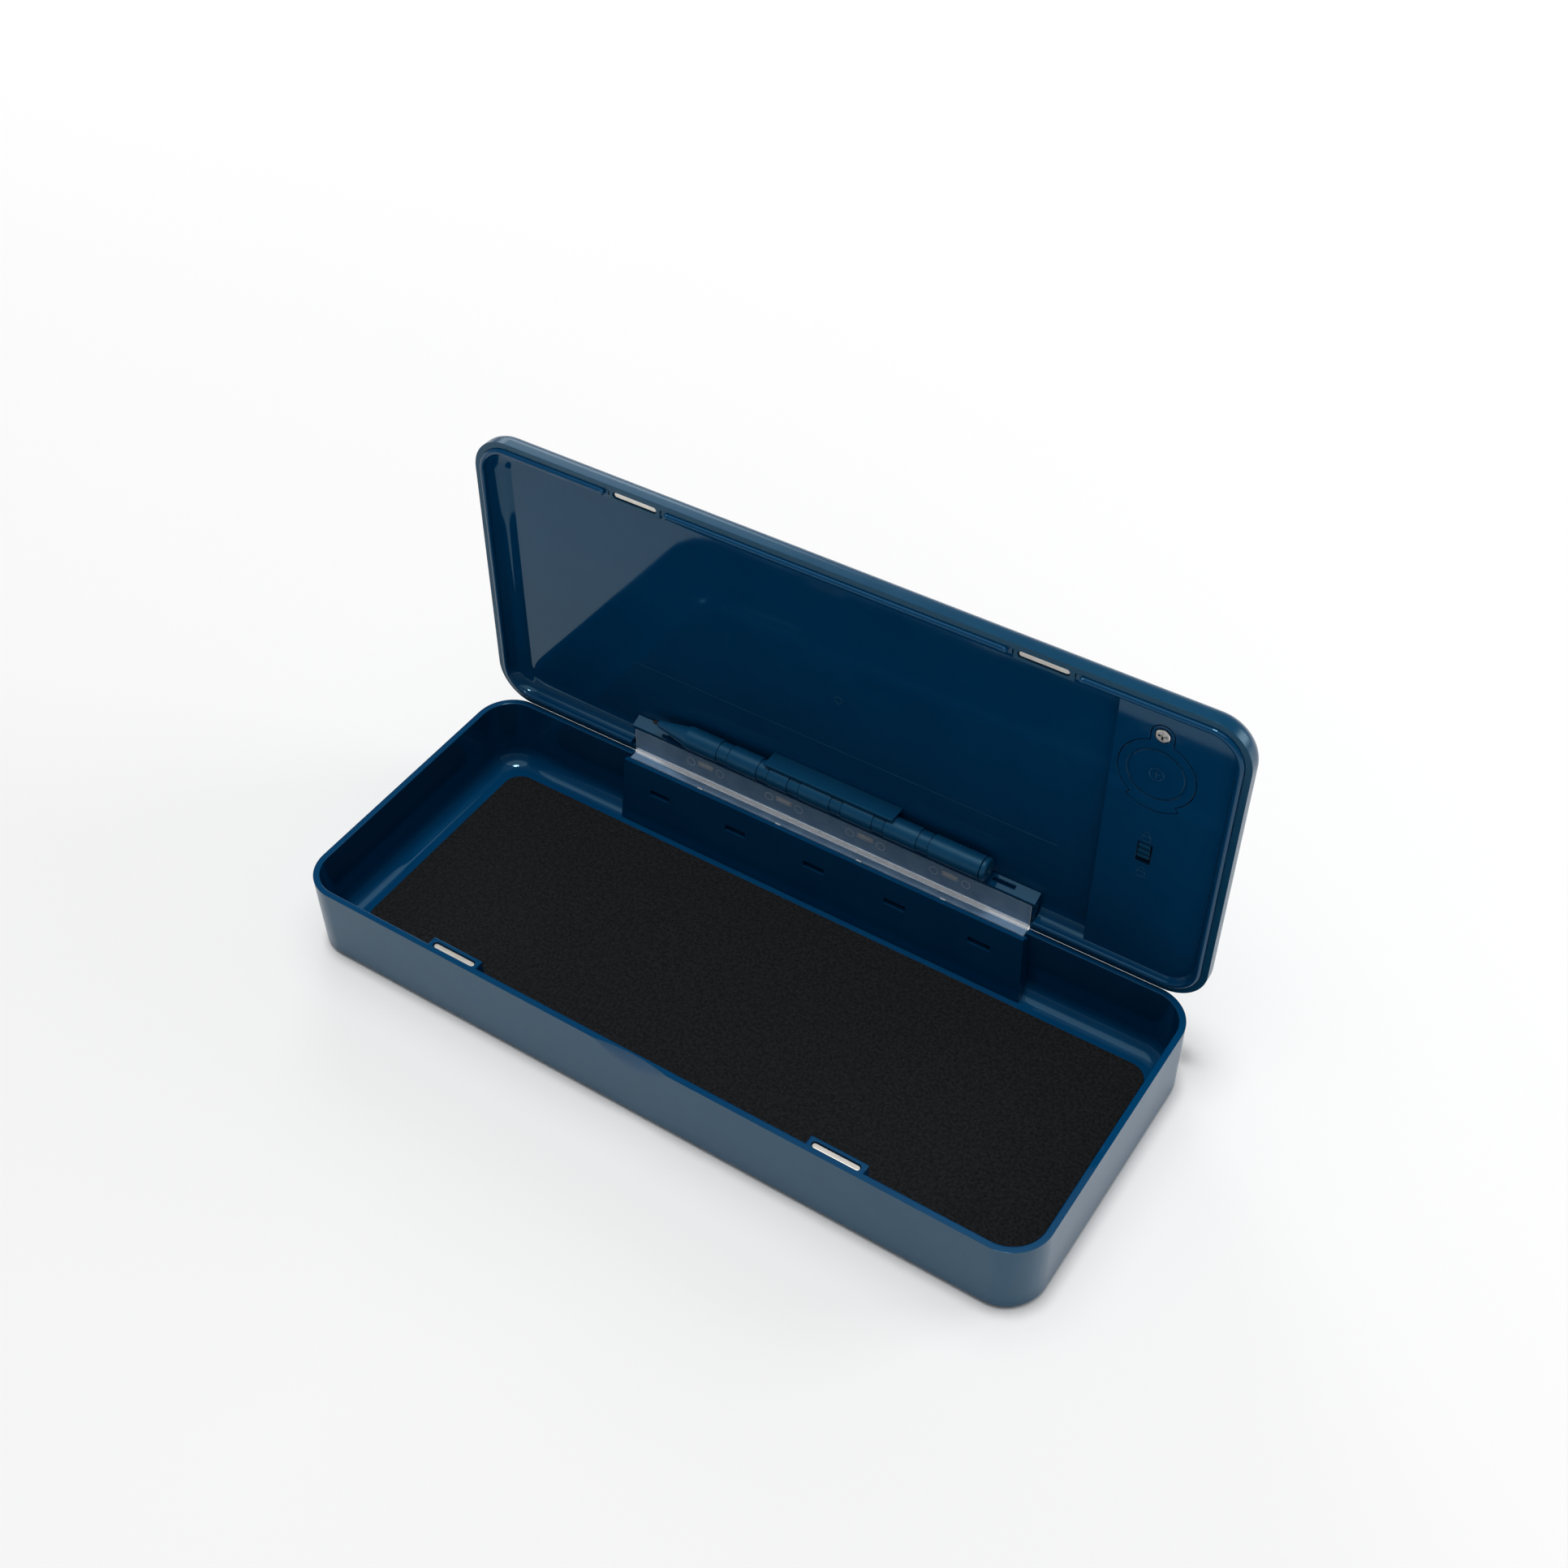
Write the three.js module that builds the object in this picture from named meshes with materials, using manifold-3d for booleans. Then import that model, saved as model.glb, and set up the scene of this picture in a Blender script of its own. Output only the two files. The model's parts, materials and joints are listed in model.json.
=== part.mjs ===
// A hinged pencil case whose lid carries an LCD writing tablet, a coin cell and a clip-in stylus.
// Millimetres, +Z up. The tray stands on Z = 0 with its front along -Y, and the lid stands open.
import * as THREE from 'three';
import { mergeVertices } from 'three/addons/utils/BufferGeometryUtils.js';
import Module from 'manifold-3d';

const wasm = await Module();
wasm.setup();

// ---------------------------------------------------------------- driving dimensions
const CASE_LENGTH = 250;
const CASE_WIDTH = 101;
const CORNER_RADIUS = 12.5;
const BASE_HEIGHT = 27;
const LID_DEPTH = 8;
const WALL = 2;
const FLOOR = 2;
const GAP = 0.3; // between pieces that touch
const LID_OPEN_DEGREES = 91.5;

const BASE_EDGE_FILLET = 2;
const FLOOR_FILLET = 6;
const LID_EDGE_FILLET = 5.5;
const LID_SKIN = 1.5;

// Margins are from the floor fillet; at the right the foam laps over the fillet's foot.
const FOAM = { margin: 3.5, rightMargin: -1, thickness: 3, radius: 6 };
const MAGNET = { length: 15, width: 1.8, height: 5, offset: 65.5, skin: 1.7 }; // skin is left outside
const BOSS = { wall: 1, endWall: 1.2 };
const THUMB_NOTCH = { width: 24.8, height: 5.5, depth: 1.2 };

const STRIP = { length: 141, thickness: 0.8, legThickness: 1.1, legAboveFloor: 2.7 };
const STRIP_INSET = 0.1; // from the fold to the edge of each flap
const HINGE_BLOCK = { endWall: 1, plate: 1.4, lidHeight: 10.3, lidSlope: 1.7, lip: 0.9 };
const COVER = { lean: 2.4, endLean: 1.5 }; // how far its foot stands out from its top
const COVER_SLOT = { count: 5, pitch: 28.9, length: 7.5, height: 2.2, belowRim: 9 };
const SNAP_WINDOW = { count: 4, pitch: 29.1, length: 5.5, height: 1.8, fromFold: 6.5 };
const RELEASE_SLOT = { left: 56.5, right: 64, near: 1.5, far: 2.7 };

const PANEL = { thickness: 1, tongueHeight: 1.2, tongue: 1.6, filletWidth: 8, fillet: 4 };
const BAY = { thickness: 1.2, beforeDoor: 2, endMargin: 14, frontMargin: 14.6 };

const STYLUS = { radius: 3.7, neckCut: 0.3, wall: 1.1, tip: -63.3, end: 56, besideBlock: 1.9, neck: 4.2 };
const STYLUS_NECKS = [-37.4, -22.7, -11.6, 3.4, 18.1, 33.2]; // the left end of each neck
const STYLUS_CONE = { length: 13, tipRadius: 1.1, shoulder: 0.52, round: 1.4 };
const NIB = { radius: 0.6, length: 8, proud: 2.3 };
const STYLUS_PLUG = 1.5;
const CLIP = { left: -20.5, right: 24.5, thickness: 1, proud: 2 };

const CELL = { radius: 10, thickness: 3.2, canWall: 1.2, step: 0.3 };
const DOOR = { rim: 1, thickness: 1, tab: 1.6, tabAngle: 0.62, ringInset: 2.8, ringWidth: 0.6 };
const EAR = { radius: 3.2, thickness: 1.6, fromDoor: 2.4, bossWall: 1.4 };
const SCREW = { headRadius: 2.1, headHeight: 0.7, shankRadius: 1, shank: 4 };
const SCREEN = { endMargin: 16, sideMargin: 10.5, beforeBay: 12, thickness: 0.9, border: 4, radius: 5 };
const RIBBON = { width: 6, margin: 0.6, lap: 2 }; // margin is from the board's far end
const BOARD = { margin: 2.5, endMargin: 12, near: 14, beforeDoor: 3.4, thickness: 0.8 };
const SWITCH = { aside: 0.3, fromFold: 46.4, slotWidth: 4.4, slotLength: 7.4, width: 6.6, length: 11 };
const SWITCH_HEIGHT = 2.8;
const KNOB = { width: 3.4, length: 4.8, travel: 2, proud: 0.4 };
const BUTTON = { fromFold: 25, radius: 5, flange: 6.3, proud: 0.4, flangeThickness: 0.6, plunger: 0.3 };
const BUTTON_TRAVEL = 0.5;
const DOME = { radius: 3, thickness: 0.3 };
const CONTACT = { sheet: 0.2, width: 3, pad: 4, fromEdge: 4 };

// ---------------------------------------------------------------- derived places
const FRONT = -CASE_WIDTH / 2;
const BACK = CASE_WIDTH / 2;
const RIGHT = CASE_LENGTH / 2;
const HINGE_HEIGHT = BASE_HEIGHT + GAP / 2;
const OVER = 1; // how far a cutter runs past what it cuts
const MAGNET_INSET = MAGNET.skin + GAP + MAGNET.width / 2; // from the outer face to the middle
const BOSS_REACH = MAGNET_INSET + MAGNET.width / 2 + GAP + BOSS.wall;
const BOSS_LENGTH = MAGNET.length + 2 * (GAP + BOSS.endWall);
const BLOCK_LENGTH = STRIP.length + 2 * HINGE_BLOCK.endWall;
const BLOCK_REACH = WALL + STRIP.legThickness + HINGE_BLOCK.plate + 2 * GAP;

const TRAY_FILLET = Math.min(FLOOR_FILLET, CORNER_RADIUS - WALL - 0.5);
const FOAM_INSET = WALL + TRAY_FILLET + FOAM.margin;
const LEG_ROOM_BOTTOM = FLOOR + TRAY_FILLET + GAP;

// Depths in the lid are measured from its rim plane. The cell's stack fills it up to the floor.
const LID_FLOOR = LID_DEPTH - LID_SKIN;
const CELL_STACK = DOOR.thickness + CELL.thickness + CONTACT.sheet + 3 * GAP;
const BAY_DEPTH = LID_FLOOR - CELL_STACK;
const CELL_FACE = BAY_DEPTH + DOOR.thickness + GAP;
const PANEL_DEPTH = LID_FLOOR - SCREEN.thickness - PANEL.thickness - 2 * GAP;
const SCREEN_FRONT = PANEL_DEPTH + PANEL.thickness + GAP;
const DOME_TOP = LID_FLOOR - GAP - BUTTON.plunger - BUTTON_TRAVEL;
const BOARD_TOP = DOME_TOP - DOME.thickness - GAP;
const BOARD_DEPTH = BOARD_TOP - BOARD.thickness;

const DOOR_RADIUS = CELL.radius + DOOR.rim;
const TAB_RADIUS = DOOR_RADIUS + DOOR.tab;
const RING_RADIUS = DOOR_RADIUS - DOOR.ringInset;
const CELL_X = RIGHT - BAY.endMargin - DOOR_RADIUS;
const CELL_FROM_FOLD = CASE_WIDTH - BAY.frontMargin - DOOR_RADIUS;
const SCREW_FROM_FOLD = CELL_FROM_FOLD + DOOR_RADIUS + EAR.fromDoor;
const BAY_START = CELL_X - DOOR_RADIUS - BAY.beforeDoor;
const BLADE_X = CELL_X - CELL.radius + CONTACT.fromEdge;
const SWITCH_X = CELL_X + SWITCH.aside;
const SCREEN_LEFT = SCREEN.endMargin - RIGHT;
const SCREEN_RIGHT = BAY_START - SCREEN.beforeBay;
const SCREEN_NEAR = SCREEN.sideMargin;
const SCREEN_FAR = CASE_WIDTH - SCREEN.sideMargin;
const BOARD_LEFT = BAY_START + BOARD.margin;
const BOARD_RIGHT = RIGHT - BOARD.endMargin;
const BOARD_FAR = CELL_FROM_FOLD - DOOR_RADIUS - BOARD.beforeDoor;

const STYLUS_DEPTH = PANEL_DEPTH - GAP - STYLUS.radius; // of its axis, lying on the panel
const STYLUS_FROM_FOLD = HINGE_BLOCK.lidHeight + STYLUS.besideBlock + STYLUS.radius;
const NECK_RADIUS = STYLUS.radius - STYLUS.neckCut;
const BORE_RADIUS = STYLUS.radius - STYLUS.wall;

// ---------------------------------------------------------------- solids from three.js geometry
function solid(geometry) {
  geometry.deleteAttribute('normal');
  geometry.deleteAttribute('uv');
  const merged = mergeVertices(geometry, 1e-4);
  return new wasm.Manifold(
    new wasm.Mesh({
      numProp: 3,
      vertProperties: Float32Array.from(merged.attributes.position.array),
      triVerts: Uint32Array.from(merged.index.array),
    }),
  );
}

function geometryOf(body) {
  const mesh = body.getMesh();
  const geometry = new THREE.BufferGeometry();
  geometry.setAttribute('position', new THREE.BufferAttribute(mesh.vertProperties, 3));
  geometry.setIndex(new THREE.BufferAttribute(mesh.triVerts, 1));
  geometry.computeVertexNormals();
  return geometry;
}

function roundedRectangle(length, width, radius, x = 0, y = 0) {
  const halfLength = length / 2 - radius;
  const halfWidth = width / 2 - radius;
  const shape = new THREE.Shape();
  shape.absarc(x + halfLength, y - halfWidth, radius, -Math.PI / 2, 0);
  shape.absarc(x + halfLength, y + halfWidth, radius, 0, Math.PI / 2);
  shape.absarc(x - halfLength, y + halfWidth, radius, Math.PI / 2, Math.PI);
  shape.absarc(x - halfLength, y - halfWidth, radius, Math.PI, 1.5 * Math.PI);
  shape.closePath();
  return shape;
}

function circle(radius, x, y) {
  const shape = new THREE.Shape();
  shape.absarc(x, y, radius, 0, 2 * Math.PI);
  return shape;
}

function prism(shape, bottom, top, curveSegments = 8) {
  const geometry = new THREE.ExtrudeGeometry(shape, {
    depth: top - bottom,
    bevelEnabled: false,
    curveSegments,
  });
  return solid(geometry.translate(0, 0, bottom));
}

// A prism whose edges are rounded at both ends; the round end that isn't wanted is cut off later.
function pillow(shape, bottom, top, filletHeight, filletWidth = filletHeight) {
  const geometry = new THREE.ExtrudeGeometry(shape, {
    depth: top - bottom - 2 * filletHeight,
    bevelThickness: filletHeight,
    bevelSize: filletWidth,
    bevelOffset: -filletWidth,
    bevelSegments: 5,
    curveSegments: 8,
  });
  return solid(geometry.translate(0, 0, bottom + filletHeight));
}

function box(x, y, z) {
  const geometry = new THREE.BoxGeometry(x[1] - x[0], y[1] - y[0], z[1] - z[0]);
  geometry.translate((x[0] + x[1]) / 2, (y[0] + y[1]) / 2, (z[0] + z[1]) / 2);
  return solid(geometry);
}

function disc(radius, x, y, bottom, top, curveSegments = 28) {
  return prism(circle(radius, x, y), bottom, top, curveSegments / 2);
}

// Extrudes an outline of [y, z] corners along X.
function barAlongX(corners, from, to) {
  const shape = new THREE.Shape(corners.map(([y, z]) => new THREE.Vector2(y, z)));
  const geometry = new THREE.ExtrudeGeometry(shape, { depth: to - from, bevelEnabled: false });
  const axes = new THREE.Matrix4().makeBasis(
    new THREE.Vector3(0, 1, 0),
    new THREE.Vector3(0, 0, 1),
    new THREE.Vector3(1, 0, 0),
  );
  return solid(geometry.applyMatrix4(axes).translate(from, 0, 0));
}

// Turns a profile of [x, radius] points round the stylus's axis.
function turnedOnStylus(profile, segments = 24) {
  const points = profile.map(([x, radius]) => new THREE.Vector2(radius, x));
  const geometry = new THREE.LatheGeometry(points, segments);
  geometry.rotateZ(-Math.PI / 2);
  return solid(geometry.translate(0, -STYLUS_FROM_FOLD, STYLUS_DEPTH));
}

// A plain round bar on the stylus's axis.
function alongStylus(from, to, radius, segments = 24) {
  return turnedOnStylus([[from, 0], [from, radius], [to, radius], [to, 0]], segments);
}

function evenly(count, pitch) {
  return Array.from({ length: count }, (_, index) => (index - (count - 1) / 2) * pitch);
}

function joined(bodies) {
  return bodies.reduce((whole, body) => whole.add(body));
}

function cut(body, cutters) {
  return cutters.reduce((rest, cutter) => rest.subtract(cutter), body);
}

// ---------------------------------------------------------------- materials and pieces
function finish(color, roughness, metalness = 0) {
  return new THREE.MeshStandardMaterial({ color, roughness, metalness });
}

const navyPlastic = finish(0x10395a, 0.35);
const glossPlastic = finish(0x0a2b4a, 0.1);
const clearPlastic = finish(0xc8d4de, 0.15);
const foamSheet = finish(0x26262a, 0.95);
const nickel = finish(0xc9c9c6, 0.3, 1);
const screenFilm = finish(0x1b2226, 0.25);
const boardGreen = finish(0x1e5a34, 0.5);
const blackPlastic = finish(0x17181b, 0.5);

function piece(name, body, material) {
  const mesh = new THREE.Mesh(geometryOf(body), material);
  mesh.name = name;
  return mesh;
}

// ---------------------------------------------------------------- base
function magnetShape(x, y, margin) {
  const width = MAGNET.width + 2 * margin;
  return roundedRectangle(MAGNET.length + 2 * margin, width, 0.45 * width, x, y);
}

function thumbNotch() {
  const tilt = Math.atan(THUMB_NOTCH.depth / THUMB_NOTCH.height);
  const halfWidth = THUMB_NOTCH.width / 2;
  const radius = (halfWidth ** 2 + THUMB_NOTCH.depth ** 2) / (2 * THUMB_NOTCH.depth);
  const reach = 3 * THUMB_NOTCH.height;
  const geometry = new THREE.CylinderGeometry(radius, radius, reach, 160);
  geometry.rotateX(Math.PI / 2);
  geometry.translate(0, -radius + THUMB_NOTCH.depth, 0);
  geometry.rotateX(-tilt);
  return solid(geometry.translate(0, FRONT, BASE_HEIGHT));
}

function baseTray() {
  const outline = roundedRectangle(CASE_LENGTH, CASE_WIDTH, CORNER_RADIUS);
  const inside = roundedRectangle(CASE_LENGTH - 2 * WALL, CASE_WIDTH - 2 * WALL, CORNER_RADIUS - WALL);
  const above = BASE_HEIGHT + 2 * FLOOR_FILLET;
  const lid = box([-CASE_LENGTH, CASE_LENGTH], [-CASE_WIDTH, CASE_WIDTH], [BASE_HEIGHT, 2 * above]);
  const blank = pillow(outline, 0, above, BASE_EDGE_FILLET).subtract(lid);
  const hollow = blank.subtract(pillow(inside, FLOOR, above + FLOOR_FILLET, TRAY_FILLET));
  const magnets = [-MAGNET.offset, MAGNET.offset];
  const bosses = magnets.map((x) =>
    box(
      [x - BOSS_LENGTH / 2, x + BOSS_LENGTH / 2],
      [FRONT + WALL / 2, FRONT + BOSS_REACH],
      [FLOOR / 2, BASE_HEIGHT],
    ),
  );
  const pockets = magnets.map((x) =>
    prism(
      magnetShape(x, FRONT + MAGNET_INSET, GAP),
      BASE_HEIGHT - MAGNET.height - 2 * GAP,
      BASE_HEIGHT + OVER,
    ),
  );
  const halfStrip = STRIP.length / 2 + GAP;
  const stripSeat = box(
    [-halfStrip, halfStrip],
    [BACK - WALL - OVER, BACK + OVER],
    [BASE_HEIGHT - STRIP.thickness - GAP, BASE_HEIGHT + OVER],
  );
  return cut(joined([hollow, ...bosses]), [...pockets, stripSeat, thumbNotch()]);
}

function baseMagnet(x) {
  const bottom = BASE_HEIGHT - MAGNET.height - GAP;
  return prism(magnetShape(x, FRONT + MAGNET_INSET, 0), bottom, BASE_HEIGHT - GAP);
}

function foamLiner() {
  const left = FOAM_INSET - RIGHT;
  const right = RIGHT - WALL - TRAY_FILLET - FOAM.rightMargin;
  const width = CASE_WIDTH - 2 * FOAM_INSET;
  const outline = roundedRectangle(right - left, width, FOAM.radius, (left + right) / 2);
  return prism(outline, FLOOR + GAP, FLOOR + GAP + FOAM.thickness);
}

// The room inside the tray, kept a gap away from its walls, floor and fillet.
function trayRoom() {
  const inset = WALL + GAP;
  const length = CASE_LENGTH - 2 * inset;
  const outline = roundedRectangle(length, CASE_WIDTH - 2 * inset, CORNER_RADIUS - inset);
  return pillow(outline, FLOOR + GAP, 3 * BASE_HEIGHT, TRAY_FILLET - GAP);
}

// The leaning block that closes the pocket for the hinge strip's leg and runs down to the floor.
function baseHingeCover() {
  const half = BLOCK_LENGTH / 2;
  const face = BACK - BLOCK_REACH;
  const foot = half + COVER.endLean;
  const top = box([-half, half], [face, BACK], [BASE_HEIGHT - 0.1, BASE_HEIGHT]);
  const bottom = box([-foot, foot], [face - COVER.lean, BACK], [FLOOR, FLOOR + 0.1]);
  const block = wasm.Manifold.hull([top, bottom]).intersect(trayRoom());
  const behind = [face + HINGE_BLOCK.plate, BACK];
  const inside = half - HINGE_BLOCK.plate;
  const legRoom = box([-inside, inside], behind, [LEG_ROOM_BOTTOM, BASE_HEIGHT + OVER]);
  const flapBottom = BASE_HEIGHT - STRIP.thickness - GAP;
  const flapRoom = box([-foot, foot], behind, [flapBottom, BASE_HEIGHT + OVER]);
  const middle = BASE_HEIGHT - COVER_SLOT.belowRim;
  const slots = evenly(COVER_SLOT.count, COVER_SLOT.pitch).map((x) =>
    box(
      [x - COVER_SLOT.length / 2, x + COVER_SLOT.length / 2],
      [face - COVER.lean, face + HINGE_BLOCK.plate + OVER],
      [middle - COVER_SLOT.height / 2, middle + COVER_SLOT.height / 2],
    ),
  );
  return cut(block, [legRoom, flapRoom, ...slots]);
}

// The flap on the rim, the leg behind the cover, and the barbs that catch in the cover's slots.
function hingeStripLower() {
  const half = STRIP.length / 2 - HINGE_BLOCK.plate - GAP;
  const back = BACK - STRIP_INSET;
  const legFace = BACK - BLOCK_REACH + HINGE_BLOCK.plate + GAP;
  const legBack = BACK - WALL - GAP;
  const flap = box(
    [-STRIP.length / 2, STRIP.length / 2],
    [legFace, back],
    [BASE_HEIGHT - STRIP.thickness, BASE_HEIGHT],
  );
  const legBottom = LEG_ROOM_BOTTOM + STRIP.legAboveFloor;
  const leg = box([-half, half], [legFace, legBack], [legBottom, BASE_HEIGHT - 0.1]);
  const middle = BASE_HEIGHT - COVER_SLOT.belowRim;
  const margin = 2 * GAP;
  const barbs = evenly(COVER_SLOT.count, COVER_SLOT.pitch).map((x) =>
    box(
      [x - COVER_SLOT.length / 2 + margin, x + COVER_SLOT.length / 2 - margin],
      [legFace - HINGE_BLOCK.plate, legFace + 0.2],
      [middle - COVER_SLOT.height / 2 + margin, middle + COVER_SLOT.height / 2 - margin],
    ),
  );
  return joined([flap, leg, ...barbs]);
}

function buildBase() {
  const group = new THREE.Group();
  group.add(
    piece('base_tray', baseTray(), navyPlastic),
    piece('base_magnet_left', baseMagnet(-MAGNET.offset), nickel),
    piece('base_magnet_right', baseMagnet(MAGNET.offset), nickel),
    piece('foam_liner', foamLiner(), foamSheet),
    piece('base_hinge_cover', baseHingeCover(), navyPlastic),
    piece('hinge_strip_lower', hingeStripLower(), clearPlastic),
  );
  return group;
}

// ---------------------------------------------------------------- lid
// Lid pieces are drawn closed: Y = 0 is the fold, -Y runs to the front, and Z is the depth above
// the lid's rim plane.
const LID_MIDDLE = -CASE_WIDTH / 2;
const LID_MAGNET_Y = -CASE_WIDTH + MAGNET_INSET;

function lidOutline(inset, extraInset = 0) {
  const total = inset + extraInset;
  return roundedRectangle(
    CASE_LENGTH - 2 * total,
    CASE_WIDTH - 2 * total,
    Math.max(CORNER_RADIUS - total, 1),
    0,
    LID_MIDDLE,
  );
}

function halfSpaceBelow(depth) {
  return box([-CASE_LENGTH, CASE_LENGTH], [-2 * CASE_WIDTH, CASE_WIDTH], [-4 * LID_DEPTH, depth]);
}

function screenOutline(inset) {
  return roundedRectangle(
    SCREEN_RIGHT - SCREEN_LEFT - 2 * inset,
    SCREEN_FAR - SCREEN_NEAR - 2 * inset,
    SCREEN.radius,
    (SCREEN_LEFT + SCREEN_RIGHT) / 2,
    -(SCREEN_NEAR + SCREEN_FAR) / 2,
  );
}

function screenWindow() {
  return prism(screenOutline(SCREEN.border), LID_FLOOR - OVER, LID_DEPTH + OVER);
}

function lidMagnetBoss(x, margin, depths) {
  const half = BOSS_LENGTH / 2 + margin;
  return box([x - half, x + half], [-CASE_WIDTH + WALL / 2, -CASE_WIDTH + BOSS_REACH + margin], depths);
}

function lidShell() {
  const below = -2 * LID_DEPTH;
  const blank = pillow(lidOutline(0), below, LID_DEPTH, LID_EDGE_FILLET);
  const insideFillet = LID_EDGE_FILLET - LID_SKIN;
  const inside = pillow(lidOutline(WALL), 2 * below, LID_FLOOR, insideFillet);
  const magnets = [-MAGNET.offset, MAGNET.offset];
  const bosses = magnets.map((x) => lidMagnetBoss(x, 0, [0, LID_FLOOR + 0.2]));
  const pockets = magnets.map((x) =>
    prism(magnetShape(x, LID_MAGNET_Y, GAP), -OVER, MAGNET.height + 2 * GAP),
  );
  const halfStrip = STRIP.length / 2 + GAP;
  const stripSeat = box([-halfStrip, halfStrip], [-WALL - OVER, OVER], [-OVER, STRIP.thickness + GAP]);
  const hole = disc(BUTTON.radius + GAP, CELL_X, -BUTTON.fromFold, LID_FLOOR - OVER, LID_DEPTH + OVER);
  const recess = disc(
    BUTTON.flange + GAP,
    CELL_X,
    -BUTTON.fromFold,
    LID_FLOOR - OVER,
    LID_FLOOR + BUTTON.flangeThickness,
  );
  const shell = cut(blank, [halfSpaceBelow(0), inside]).add(joined(bosses).intersect(blank));
  return cut(shell, [...pockets, stripSeat, screenWindow(), hole, recess]);
}

function lidMagnet(x) {
  return prism(magnetShape(x, LID_MAGNET_Y, 0), GAP, GAP + MAGNET.height);
}

// The outline shared by the battery door and, with a margin, by the hole it lies in.
function doorOutline(margin, bottom, top) {
  const y = -CELL_FROM_FOLD;
  const screwY = -SCREW_FROM_FOLD;
  const face = disc(DOOR_RADIUS + margin, CELL_X, y, bottom, top, 48);
  const ear = disc(EAR.radius + margin, CELL_X, screwY, bottom, top, 20);
  const neckWidth = EAR.radius + margin;
  const neck = box([CELL_X - neckWidth, CELL_X + neckWidth], [screwY, y - DOOR_RADIUS + 1], [bottom, top]);
  const tab = new THREE.Shape();
  const angle = DOOR.tabAngle + margin / TAB_RADIUS;
  const tabRadius = TAB_RADIUS + margin;
  tab.moveTo(CELL_X, y);
  tab.lineTo(CELL_X + tabRadius * Math.sin(angle), y + tabRadius * Math.cos(angle));
  tab.absarc(CELL_X, y, tabRadius, Math.PI / 2 - angle, Math.PI / 2 + angle);
  tab.closePath();
  return joined([face, ear, neck, prism(tab, bottom, top, 12)]);
}

function screwBoss() {
  const y = -SCREW_FROM_FOLD;
  const outer = disc(EAR.radius + EAR.bossWall, CELL_X, y, BAY_DEPTH + 0.2, LID_FLOOR - GAP, 24);
  const cellRoom = disc(DOOR_RADIUS + 3 * GAP, CELL_X, -CELL_FROM_FOLD, -OVER, LID_DEPTH, 48);
  return outer.subtract(cellRoom);
}

function screwRoom() {
  const y = -SCREW_FROM_FOLD;
  const earFloor = BAY_DEPTH + EAR.thickness + GAP;
  const shankEnd = BAY_DEPTH + SCREW.shank + 2 * GAP;
  const ear = disc(EAR.radius + GAP, CELL_X, y, BAY_DEPTH - OVER, earFloor, 20);
  return ear.add(disc(SCREW.shankRadius + GAP, CELL_X, y, BAY_DEPTH, shankEnd, 16));
}

function boardPosts() {
  const across = [BOARD_LEFT + 2, BOARD_RIGHT - 2];
  const along = [BOARD.near + 2, BOARD_FAR - 2];
  const top = BOARD_DEPTH - GAP;
  return across.flatMap((x) =>
    along.map((fromFold) => disc(1.2, x, -fromFold, BAY_DEPTH + 0.5, top, 12)),
  );
}

function stylusClip() {
  const underside = STYLUS_FROM_FOLD + STYLUS.radius + GAP;
  const y = [-underside - CLIP.thickness, -underside];
  return box([CLIP.left, CLIP.right], y, [-CLIP.proud, PANEL_DEPTH + 0.5]);
}

// How wide the dish's corner leaves room for the fillet round its floor.
function dishFillet() {
  return Math.min(PANEL.filletWidth, CORNER_RADIUS - WALL - GAP - PANEL.tongue - 0.5);
}

// The glossy inner panel: a shallow dish with a locating tongue round it, and a raised bay for the
// electronics at its right end.
function panelBlank() {
  const edge = WALL + GAP;
  const bottom = PANEL_DEPTH + PANEL.thickness;
  const far = -4 * LID_DEPTH;
  const rimCut = halfSpaceBelow(-PANEL.tongueHeight);
  const outer = pillow(lidOutline(edge, 0.6), far, bottom, PANEL.fillet, dishFillet() - 1);
  const rim = prism(lidOutline(edge), -PANEL.tongueHeight, PANEL.fillet / 3);
  const inner = lidOutline(edge, PANEL.tongue);
  const dish = pillow(inner, far, PANEL_DEPTH, PANEL.fillet, dishFillet());
  const bay = box([BAY_START, CASE_LENGTH], [-2 * CASE_WIDTH, CASE_WIDTH], [BAY_DEPTH, LID_DEPTH]);
  const bayTop = BAY_DEPTH + BAY.thickness;
  const bayStart = BAY_START + BAY.thickness;
  const bayInside = prism(lidOutline(edge, 2.2), bayTop, LID_DEPTH).intersect(
    box([bayStart, CASE_LENGTH], [-2 * CASE_WIDTH, CASE_WIDTH], [0, 2 * LID_DEPTH]),
  );
  return cut(outer.subtract(rimCut).add(rim), [dish.subtract(bay), bayInside]);
}

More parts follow.
